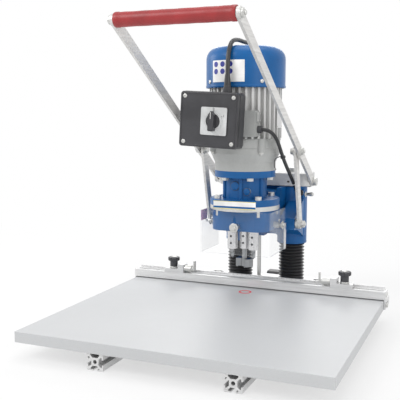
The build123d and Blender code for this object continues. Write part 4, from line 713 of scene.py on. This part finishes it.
def motor_details():
    """The fan cover's rim, and the motor's plates, screws, beads and covers."""
    def rim(bm):
        """The rolled bead at the cover's open end."""
        bead = [(-2.4, 0.2), (-0.2, 0), (0.7, 1.2), (0.7, 4), (0.05, 5), (-2.4, 5)]
        outline = [(FAN_COVER_R + proud, FAN_COVER_LOW + along) for proud, along in bead]
        add_closed_turned(bm, (0, DRIVE_Y), outline, 72)

    piece("fan_cover_rim", "head", "blue_paint", rim, degrees=50)
    panel = (-124.0, -72.5)
    piece("sign_plate", "head", "grey_plastic",
          lambda bm: add_curved_plate(bm, panel, (428.0, 469.0), FAN_COVER_R, 0.6), WHITE_LABEL)

    def spots(bm):
        for row in range(2):
            for column in range(3):
                angle = panel[0] + 7.0 + 12.0 * column
                add_curved_spot(bm, angle, 461.5 - 13.5 * row, FAN_COVER_R + 0.55, 5.2, 0.3)

    piece("sign_plate_spots", "head", "grey_plastic", spots, BLUE_SPOT)

    def cover_screws(bm):
        for angle in (-132, -48, 42, 138):
            add_pan_head(bm, on_motor(angle, FAN_COVER_R, 429.0), away(angle), 4.0, 2.2)

    piece("fan_cover_screws", "head", "steel", cover_screws)

    def rating_plate(bm):
        add_curved_plate(bm, (-14.0, 8.0), (340.0, 385.0), 72.2, 0.8, 10)

    piece("rating_plate_bare", "head", "aluminium", rating_plate)

    def plate_rivets(bm):
        for angle in (-12.5, 6.5):
            for z in (343.5, 381.5):
                add_pan_head(bm, on_motor(angle, 73.0, z), away(angle), 1.4, 0.9, recess=False)

    piece("rating_plate_rivets", "head", "steel", plate_rivets)

    def shield_bolts(bm):
        for angle in (45, 135, 225, 315):
            place = on_motor(angle, 70.0, 293.9)
            add_hex(bm, place, (0, 0, -1), 5.2, 4.0)
            add_pin(bm, place - Vector((0, 0, 6)), (0, 0, 1), 2.4, 5)

    piece("motor_tie_bolts", "head", "steel", shield_bolts)

    def shield_bands(bm):
        for z, reach in ((300.0, 70.1), (317.5, 70.5)):
            add_ring(bm, (0, DRIVE_Y, z), (0, 0, 1), reach - 0.9, 1.3, 72, 10)

    piece("motor_shield_beads", "head", "motor_grey", shield_bands, degrees=60)

    def terminal_cover(bm):
        add_box(bm, (46.0, 326.5, 352.0), (48.2, 347.0, 371.0), 1.0)
        add_box(bm, (46.0, 325.0, 327.0), (47.2, 342.0, 349.5), 0.5)

    piece("terminal_side_covers", "head", "motor_grey", terminal_cover)

    def terminal_screws(bm):
        for z in (368.0, 355.0):
            for y in (329.5, 344.0):
                add_pan_head(bm, (48.1, y, z), (1, 0, 0), 1.8, 1.2)

    piece("terminal_cover_screws", "head", "steel", terminal_screws)


motor_details()


# ---------------------------------------------------------------- switch box
def switch_details():
    """The lid's bead, seal and screws, the dial and the switch knob."""
    half_wide, half_high = CONTROL_HALF

    def lid_border(bm):
        """A low bead that runs round the lid near its edge, outside its screws."""
        x, z, size = half_wide - LID_BEAD_INSET, half_high - LID_BEAD_INSET, 1.5
        for sign in SIDES:
            add_box(bm, (-x, -0.8, sign * z - size / 2), (x, 0.6, sign * z + size / 2), 0.5)
            add_box(bm, (sign * x - size / 2, -0.8, -z), (sign * x + size / 2, 0.6, z), 0.5)

    piece("lid_bead", "head", "black_plastic", lid_border, place=LID)

    def lid_seal(bm):
        for sign in SIDES:
            add_box(bm, (-half_wide + 4, 11.4, sign * (half_high + 0.1) - 0.5),
                    (half_wide - 4, 12.6, sign * (half_high + 0.1) + 0.5), 0.3)
            add_box(bm, (sign * (half_wide + 0.1) - 0.5, 11.4, -half_high + 4),
                    (sign * (half_wide + 0.1) + 0.5, 12.6, half_high - 4), 0.3)

    piece("lid_seal", "head", "black_rubber", lid_seal, place=LID)

    def bright_heads(bm):
        for sx in SIDES:
            for sz in SIDES:
                place = (sx * (half_wide - LID_SCREW_INSET), 0.5, sz * (half_high - LID_SCREW_INSET))
                add_pan_head(bm, place, (0, -1, 0), 4.2, 1.6)

    piece("lid_screw_heads", "head", "steel", bright_heads, place=LID)

    x, z = SWITCH_PLACE

    def plate_frame(bm):
        half = 26.6
        add_box(bm, (x - half, -2.2, z - half), (x + half, -0.05, z + half), 0.8)

    piece("switch_plate_back", "head", "black_plastic", plate_frame, DARK_GREY, place=LID)

    def dial_ticks(bm):
        for angle in (0, 60):
            turned = math.radians(angle)
            reach = 19.0
            place = (x + reach * math.sin(turned), -3.0, z + reach * math.cos(turned))
            add_pin(bm, place, (0, -1, 0), 0.8, 0.5, 0.1, 12)

    piece("dial_marks", "head", "black_plastic", dial_ticks, DARK_GREY, place=LID)

    def knob_shape(bm):
        """The knob's raised grip with its pointed end up, and its skirt."""
        right_half = [(5.5, 12.0), (5.5, -16.5), (3.9, -18.3)]
        outline = [(0, 19.0)] + right_half + [(-px, pz) for px, pz in reversed(right_half)]
        lists = []
        for inset, y in ((0.0, -6.0), (0.0, -18.6), (1.3, -20.1)):
            across, along = 1 - inset / 6, 1 - inset / 16
            lists.append([bm.verts.new((x + px * across, y, z + pz * along)) for px, pz in outline])
        for first, second in zip(lists, lists[1:]):
            for number in range(len(outline)):
                after = (number + 1) % len(outline)
                bm.faces.new([first[number], first[after], second[after], second[number]])
        bm.faces.new(lists[-1])
        bm.faces.new(list(reversed(lists[0])))
        skirt = [(13.4, 0), (13.4, 5.5), (12.4, 6.8), (10.5, 7.2), (0, 7.2)]
        add_turned(bm, (x, -0.6, z), (0, -1, 0), skirt, 48)

    knob = piece("switch_knob_shape", "switch", "black_plastic", knob_shape, place=LID)
    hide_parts("switch_knob")

    def pointer_line(bm):
        add_box(bm, (x - 0.6, -20.4, z + 4.5), (x + 0.6, -19.8, z + 16.5), 0.15)

    piece("switch_pointer_line", "switch", "grey_plastic", pointer_line, WHITE_LABEL, place=LID)
    for name, letter, angle in (("dial_0", "0", -2), ("dial_1", "1", 62)):
        turned = math.radians(angle)
        middle = Vector((x + 22.6 * math.sin(turned), -3.05, z + 22.4 * math.cos(turned)))
        digit(name, letter, LID @ Matrix.Translation(middle) @ Matrix.Rotation(math.radians(90), 4, "X"))


def digit(name, letter, place):
    """One raised digit of the dial."""
    text = bpy.data.curves.new(name, "FONT")
    text.body = letter
    text.size = 7.0
    text.extrude = 0.12
    text.align_x = "CENTER"
    text.align_y = "CENTER"
    holder = bpy.data.objects.new(name + "_text", text)
    bpy.context.scene.collection.objects.link(holder)
    bpy.context.view_layer.update()
    mesh = bpy.data.meshes.new_from_object(holder.evaluated_get(bpy.context.evaluated_depsgraph_get()))
    bpy.data.objects.remove(holder)
    mesh.transform(place)
    mesh.materials.clear()
    mesh.materials.append(DARK_GREY)
    obj = bpy.data.objects.new(name, mesh)
    bpy.context.scene.collection.objects.link(obj)
    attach(obj, "head")


switch_details()


# ---------------------------------------------------------------- gear head and casting
def head_details():
    """The front strip, the joint line, screws, ribs and rims, and the lock lever."""
    def front_strip(bm):
        add_box(bm, (STRIP_X[0], 327.0, STRIP_Z[0]), (STRIP_X[1], 328.2, STRIP_Z[1]), 0.3)

    piece("front_strip", "head", "grey_plastic", front_strip, WHITE_LABEL)

    def strip_edges(bm):
        for low, high in ((183.9, 184.9), (198.1, 198.9)):
            add_box(bm, (STRIP_X[0] - 0.3, 326.8, low), (STRIP_X[1] + 0.3, 328.4, high), 0.2)

    piece("front_strip_edges", "head", "grey_plastic", strip_edges, YELLOW_EDGE)

    def strip_band(bm):
        add_box(bm, (STRIP_X[0], 326.85, 185.3), (STRIP_X[1], 327.2, 189.0), 0.1)

    piece("front_strip_band", "head", "blue_paint", strip_band)

    def strip_bracket(bm):
        """The flat lug behind the strip."""
        add_box(bm, (-30.0, 328.0, 187.5), (34.0, 331.5, 195.5), 0.6)

    piece("front_strip_backing", "head", "aluminium", strip_bracket)

    def housing_edge(bm):
        """The machined joint line round the gear housing's top."""
        add_box(bm, (-60.2, 380.0, 175.6), (60.2, 446.5, 177.6), 0.5)

    piece("housing_joint_line", "head", "blue_paint", housing_edge)

    def housing_screws(bm):
        for sign in SIDES:
            for y, z in ((422.0, 168.0), (438.0, 150.0)):
                add_pan_head(bm, (sign * 60.0, y, z), (sign, 0, 0), 3.4, 2.6)

    piece("housing_side_screws", "head", "steel", housing_screws)

    def guard_washers(bm):
        """The washers and heads of the guard's bolts: one in front and one at each side."""
        front_washer = [(9.0, 0), (9.0, 1.0), (8.2, 1.5), (6.2, 1.5)]
        side_washer = [(8.0, 0), (8.0, 1.0), (7.2, 1.4), (5.0, 1.4)]
        add_turned(bm, (0, 331.6, GUARD_BOLT_Z), (0, -1, 0), front_washer, 32)
        add_hex(bm, (0, 331.4, GUARD_BOLT_Z), (0, -1, 0), 5.6, 5.0)
        for sign in SIDES:
            base = (sign * 77.4, 405.0, GUARD_BOLT_Z)
            add_turned(bm, base, (sign, 0, 0), side_washer, 28)
            add_hex(bm, base, (sign, 0, 0), 5.2, 4.4)

    piece("guard_bolt_heads", "head", "steel", guard_washers)

    def ribs(bm):
        """Cast ribs on the bosses beside the neck."""
        for x, y in COLUMNS:
            for angle in (-150, -30, 90):
                turned = math.radians(angle)
                base = (x + RIB_REACH * math.cos(turned), y + RIB_REACH * math.sin(turned), 104.0)
                add_turned(bm, base, (0, 0, 1), [(1.0, 0), (4.2, 5), (4.2, 98), (1.0, 104)], 20)

    piece("boss_ribs", "head", "blue_paint", ribs)

    def boss_rims(bm):
        for x, y in COLUMNS:
            add_ring(bm, (x, y, 210.8), (0, 0, 1), 30.6, 1.8, 56, 10)
            add_ring(bm, (x, y, 90.6), (0, 0, 1), 30.8, 1.7, 56, 10)

    piece("boss_rims", "head", "blue_paint", boss_rims, degrees=60)

    def lock_lever(bm):
        """The small clamping lever on the right boss."""
        add_pin(bm, (88.5, 528.0, 196.0), (1, 0, 0), 6.0, 5.0, 0.8)
        add_turned(bm, (92.0, 528.0, 196.0), (1, -0.05, 0.03),
                   [(3.2, 0), (3.2, 5), (3.8, 8), (4.4, 13), (4.2, 16), (2.6, 17.6), (0, 18)], 24)

    piece("head_lock_lever", "head", "steel", lock_lever)


def neck_plugs():
    """The two round plugs in the neck's front, each in a dark joint line."""
    places = ((-6.0, 226.5, 8.0, 353.4), (18.0, 215.5, 6.5, 355.0))

    def discs(bm):
        for x, z, radius, front in places:
            profile = [(radius + 0.4, -2.0), (radius + 0.4, 0.3), (radius - 0.6, 0.9), (0, 1.1)]
            add_turned(bm, (x, front, z), (0, -1, 0), profile, 36)

    def joints(bm):
        for x, z, radius, front in places:
            add_ring(bm, (x, front + 0.3, z), (0, 1, 0), radius + 0.8, 0.5, 40, 8)

    piece("neck_plug_discs", "head", "blue_paint", discs)
    piece("neck_plug_joints", "head", "black_plastic", joints, DARK_GREY)


def chuck_screw_discs_and_bore_shade(bm, tool, radius):
    """Dark discs for the two set screws in the front of a tool holder, set back in their bores: the screws'
    black and painted shade of the bores.
    """
    low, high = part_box(tool)
    middle = TABLE.inverted() @ ((Vector(low) + Vector(high)) / 2)
    for z in SET_SCREW_Z:
        place = (middle.x, middle.y - radius + SCREW_SHADE_DEPTH, z)
        add_pin(bm, place, (0, -1, 0), SCREW_SHADE_R, SCREW_SHADE_LENGTH, 0.3, 20)


head_details()
neck_plugs()
# Dark grey discs in each chuck's bores: the set screws' black and painted shade of the bores.
for tool, body, radius in CHUCKS:
    piece(tool + "_set_screws_and_bore_shade", body, "steel", lambda bm: chuck_screw_discs_and_bore_shade(bm, tool, radius), DARK_GREY)


# ---------------------------------------------------------------- lever, links and crosshead
def lever_details():
    """The grip's sleeve, the nuts of the lever and links, and the crosshead's ends."""
    def grip_surface(bm):
        """The grip's sleeve with flared ends and shallow finger rings."""
        half = 103.2
        profile = [(9.2, -half), (12.0, -half), (12.5, -half + 1.5), (12.5, -half + 7), (11.9, -half + 9)]
        for number in range(1, 20):
            along = -half + 9 + number * (2 * half - 18) / 20
            profile.append((11.9 + 0.18 * math.sin(number * 1.7), along))
        profile += [(11.9, half - 9), (12.5, half - 7), (12.5, half - 1.5), (12.0, half), (9.2, half)]
        add_turned(bm, (0, *GRIP), (1, 0, 0), profile, 40)

    sleeve = piece("grip_sleeve", "lever", "red_grip", grip_surface, degrees=60)
    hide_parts("lever_grip")

    def nuts(bm):
        for side in SIDES:
            for y, z in (GRIP, LINK_TOP):
                base = (side * 109.0, y, z)
                add_turned(bm, base, (side, 0, 0), [(9.6, 0), (9.6, 1.0), (9.0, 1.6), (6.0, 1.6)], 28)
                add_hex(bm, (side * 110.4, y, z), (side, 0, 0), 7.4, 5.0)
                add_pin(bm, (side * 114.0, y, z), (side, 0, 0), 3.6, 3.6, 0.5, 24)

    piece("lever_nuts", "lever", "steel", nuts)

    def foot_nuts(bm):
        for side in SIDES:
            base = (side * 103.8, *LINK_FOOT)
            add_hex(bm, base, (side, 0, 0), 7.8, 5.6)
            add_pin(bm, (side * 109.0, *LINK_FOOT), (side, 0, 0), 3.6, 2.6, 0.5, 24)

    piece("link_foot_nuts", "head", "steel", foot_nuts)

    def pivot_caps(bm):
        for side in SIDES:
            base = (side * 114.4, *LEVER_PIVOT)
            profile = [(8.8, 0), (8.8, 0.6), (8.0, 1.4), (3.4, 1.4), (3.0, 0.2), (0, 0.2)]
            add_turned(bm, base, (side, 0, 0), profile, 28)

    piece("pivot_bolt_rims", "stand", "steel", pivot_caps)

    def crosshead_bosses(bm):
        for side in SIDES:
            base = (side * 96.0, *LEVER_PIVOT)
            add_turned(bm, base, (side, 0, 0), [(12.6, 0), (12.6, 6.0), (11.6, 7.4), (7.0, 7.4)], 36)

    piece("crosshead_end_faces", "stand", "motor_grey", crosshead_bosses)


lever_details()


# ---------------------------------------------------------------- fence and table
def fence_details():
    """The rail's beads, scale and screws, and what the knobs and flips turn on."""
    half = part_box("fence_rail")[1].x / MM - FENCE_END_GAP

    def face_lines(bm):
        """Fine raised beads along the rail's front face and top."""
        for z in (6.2, 12.6):
            add_box(bm, (-half, 442.05, z), (half, 442.7, z + 0.8), 0.2)
        for front, back in ((444.5, 445.3), (463.2, 464.0)):
            add_box(bm, (-half, front, 18.3), (half, back, 18.75), 0.15)

    piece("fence_beads", "fence", "aluminium", face_lines)

    def scale_ticks(bm):
        """A scale without digits along the rail's raised back."""
        for number in range(-26, 27):
            tall = 3.2 if number % 5 == 0 else 1.9
            x = number * 10.0
            add_box(bm, (x - 0.2, 466.28, 22.4 - tall), (x + 0.2, 466.62, 22.4), 0.05, 1)

    piece("fence_scale", "fence", "black_plastic", scale_ticks, DARK_GREY)

    def stop_hubs(bm, x):
        add_turned(bm, (x, STOP_KNOB_Y, 51.4), (0, 0, 1), [(6.0, 0), (6.0, 0.4), (5.2, 0.9), (0, 1.1)], 28)

    def stop_collars(bm, x):
        add_turned(bm, (x, STOP_KNOB_Y, 27.3), (0, 0, 1), [(9.4, 0), (9.4, 2.2), (8.8, 3.0), (8.4, 3.0)], 32)

    for side, x in STOP_KNOBS:
        body = side + "_knob"
        piece("stop_hub_" + side, body, "steel", lambda bm: stop_hubs(bm, x))
        piece("stop_collar_" + side, body, "steel", lambda bm: stop_collars(bm, x))

    def flip_bolts(bm, x, toward):
        add_hex(bm, (x, *FLIP_AXIS), (toward, 0, 0), 5.0, 3.0)

    for side, x, toward in FLIP_BOLTS:
        piece("flip_bolt_" + side, side + "_flip", "steel", lambda bm: flip_bolts(bm, x, toward))

    def end_screws(bm):
        for side in SIDES:
            for y in (451.0, 463.0):
                add_pan_head(bm, (side * 278.45, y, 11.0), (side, 0, 0), 3.6, 1.8)

    piece("fence_end_screws", "fence", "steel", end_screws)


def table_details():
    def ring_mark(bm):
        """The flat ring on the table under the middle spindle."""
        add_closed_turned(bm, (-2.0, 408.0), [(9.5, 0.02), (13.4, 0.02), (13.4, 0.22), (9.5, 0.22)], 48)

    piece("table_ring_mark", "stand", "red_grip", ring_mark, RED_MARK)

    def edge_band(bm):
        """The thin edging on the board's front edge."""
        add_box(bm, (-274.2, -0.02, -18.4), (274.2, 0.5, -0.7), 0.2, 1)

    piece("board_edging", "stand", "laminate", edge_band)


fence_details()
table_details()


# ---------------------------------------------------------------- guard and ties
TIE_THICK = 0.9


def guard_details():
    def film(bm):
        add_box(bm, (-74.35, 344.0, 155.0), (-74.0, 376.0, 176.0), 0.1, 1)

    piece("guard_film", "guard", "clear_plastic", film, PINK_FILM)

    def edges(bm):
        """The polished rim of the sheet, which shows brighter than its faces."""
        for z in (92.0, 176.4):
            add_box(bm, (-69.0, 335.4, z + 0.05), (69.0, 337.6, z + 0.5), 0.15, 1)
            for side in SIDES:
                x = side * 72.5
                add_box(bm, (x - 1.1, 342.0, z + 0.05), (x + 1.1, 435.6, z + 0.5), 0.15, 1)

    piece("guard_rims", "guard", "clear_plastic", edges)

    def strip_rivets(bm):
        for z in (96.5, 142.5):
            add_pan_head(bm, (75.9, 431.0, z), (1, 0, 0), 2.4, 1.2, recess=False)

    piece("guard_strip_rivets", "guard", "steel", strip_rivets)


guard_details()


def cable_ties():
    """The white and the black cable tie round the motor lead."""
    def white_tie(bm):
        add_ring(bm, (88.5, 444.0, 227.3), (0.03, 0.78, -0.63), 4.6, TIE_THICK, 40, 8)
        add_box(bm, (82.0, 441.5, 228.5), (86.0, 446.0, 232.5), 0.6)

    piece("white_cable_tie", "head", "grey_plastic", white_tie, WHITE_NYLON)

    def black_tie(bm):
        add_ring(bm, (82.6, 384.0, 283.5), (0.05, 0.7, -0.7), 4.4, TIE_THICK, 40, 8)
        tail = [(79.0, 383.5, 285.0), (71.0, 382.5, 283.5), (64.5, 382.0, 276.0), (66.5, 381.0, 262.0)]
        add_tube(bm, spline_points(tail, 8), TIE_THICK, 8)

    piece("black_cable_tie", "head", "black_plastic", black_tie, DARK_GREY, degrees=60)


cable_ties()


# ---------------------------------------------------------------- floor, backdrop and light
def seen_directly(tree):
    """1 for rays from the camera, in reflections and through clear sheet, else 0."""
    rays = tree.nodes.new("ShaderNodeLightPath")
    first = tree.nodes.new("ShaderNodeMath")
    first.operation = "MAXIMUM"
    tree.links.new(rays.outputs["Is Camera Ray"], first.inputs[0])
    tree.links.new(rays.outputs["Is Glossy Ray"], first.inputs[1])
    second = tree.nodes.new("ShaderNodeMath")
    second.operation = "MAXIMUM"
    tree.links.new(first.outputs[0], second.inputs[0])
    tree.links.new(rays.outputs["Is Transmission Ray"], second.inputs[1])
    return second.outputs[0]


WORLD_LEVEL = 0.58
FLOOR_GLOW = 0.62
FLOOR_FADE = (0.5, 1.5)
FLOOR_R = 9.0
FLOOR_DROP = 0.0004
LAMP_AIM = Vector((0, 0, 0.25))


def make_world():
    """An even, dimmer light that looks white where it is seen directly."""
    world = bpy.data.worlds.new("studio")
    bpy.context.scene.world = world
    world.use_nodes = True
    tree = world.node_tree
    light = tree.nodes["Background"]
    light.inputs["Color"].default_value = (1, 1, 1, 1)
    light.inputs["Strength"].default_value = WORLD_LEVEL
    white = tree.nodes.new("ShaderNodeBackground")
    white.inputs["Color"].default_value = (1, 1, 1, 1)
    white.inputs["Strength"].default_value = 1.0
    mix = tree.nodes.new("ShaderNodeMixShader")
    tree.links.new(seen_directly(tree), mix.inputs["Fac"])
    tree.links.new(light.outputs[0], mix.inputs[1])
    tree.links.new(white.outputs[0], mix.inputs[2])
    tree.links.new(mix.outputs[0], tree.nodes["World Output"].inputs["Surface"])


def make_floor():
    """A pale round floor that glows more the farther it is from the machine, up to white."""
    mesh = bpy.data.meshes.new("floor")
    bm = bmesh.new()
    bmesh.ops.create_circle(bm, cap_ends=True, segments=64, radius=FLOOR_R)
    bm.to_mesh(mesh)
    bm.free()
    floor = bpy.data.objects.new("floor", mesh)
    bpy.context.scene.collection.objects.link(floor)
    floor.location.z = -FLOOR_DROP
    material = bpy.data.materials.new("pale_floor")
    material.use_nodes = True
    tree = material.node_tree
    base = tree.nodes["Principled BSDF"]
    base.inputs["Base Color"].default_value = (0.85, 0.85, 0.85, 1)
    base.inputs["Roughness"].default_value = 0.9
    glow = tree.nodes.new("ShaderNodeEmission")
    mix = tree.nodes.new("ShaderNodeMixShader")
    place = tree.nodes.new("ShaderNodeTexCoord")
    away = tree.nodes.new("ShaderNodeVectorMath")
    away.operation = "LENGTH"
    tree.links.new(place.outputs["Object"], away.inputs[0])
    fade = tree.nodes.new("ShaderNodeMapRange")
    fade.interpolation_type = "SMOOTHSTEP"
    fade.inputs["From Min"].default_value = FLOOR_FADE[0]
    fade.inputs["From Max"].default_value = FLOOR_FADE[1]
    fade.inputs["To Min"].default_value = FLOOR_GLOW
    fade.inputs["To Max"].default_value = 1.0
    tree.links.new(away.outputs["Value"], fade.inputs["Value"])
    share = tree.nodes.new("ShaderNodeMath")
    share.operation = "MULTIPLY"
    tree.links.new(fade.outputs["Result"], share.inputs[1])
    tree.links.new(seen_directly(tree), share.inputs[0])
    tree.links.new(share.outputs[0], mix.inputs["Fac"])
    tree.links.new(base.outputs[0], mix.inputs[1])
    tree.links.new(glow.outputs[0], mix.inputs[2])
    tree.links.new(mix.outputs[0], tree.nodes["Material Output"].inputs["Surface"])
    mesh.materials.append(material)


LAMPS = {
    "key": ((-1.3, -1.7, 1.9), 1.3, 24.0),
    "fill": ((1.9, -1.2, 1.1), 1.4, 11.0),
    "top": ((0.2, 0.2, 2.4), 1.6, 14.0),
    "back": ((-0.6, 2.0, 1.3), 1.2, 10.0),
    "left": ((-1.9, 0.1, 0.9), 0.9, 6.0),
}


def make_lamps():
    """Round area lamps, each aimed at the machine's middle."""
    for name, (place, size, power) in LAMPS.items():
        data = bpy.data.lights.new(name, "AREA")
        data.shape = "DISK"
        data.size = size
        data.energy = power
        lamp = bpy.data.objects.new(name, data)
        bpy.context.scene.collection.objects.link(lamp)
        lamp.location = place
        lamp.rotation_mode = "QUATERNION"
        lamp.rotation_quaternion = (LAMP_AIM - lamp.location).to_track_quat("-Z", "Y")


make_world()
make_floor()
make_lamps()
bpy.context.scene.view_settings.view_transform = "Standard"
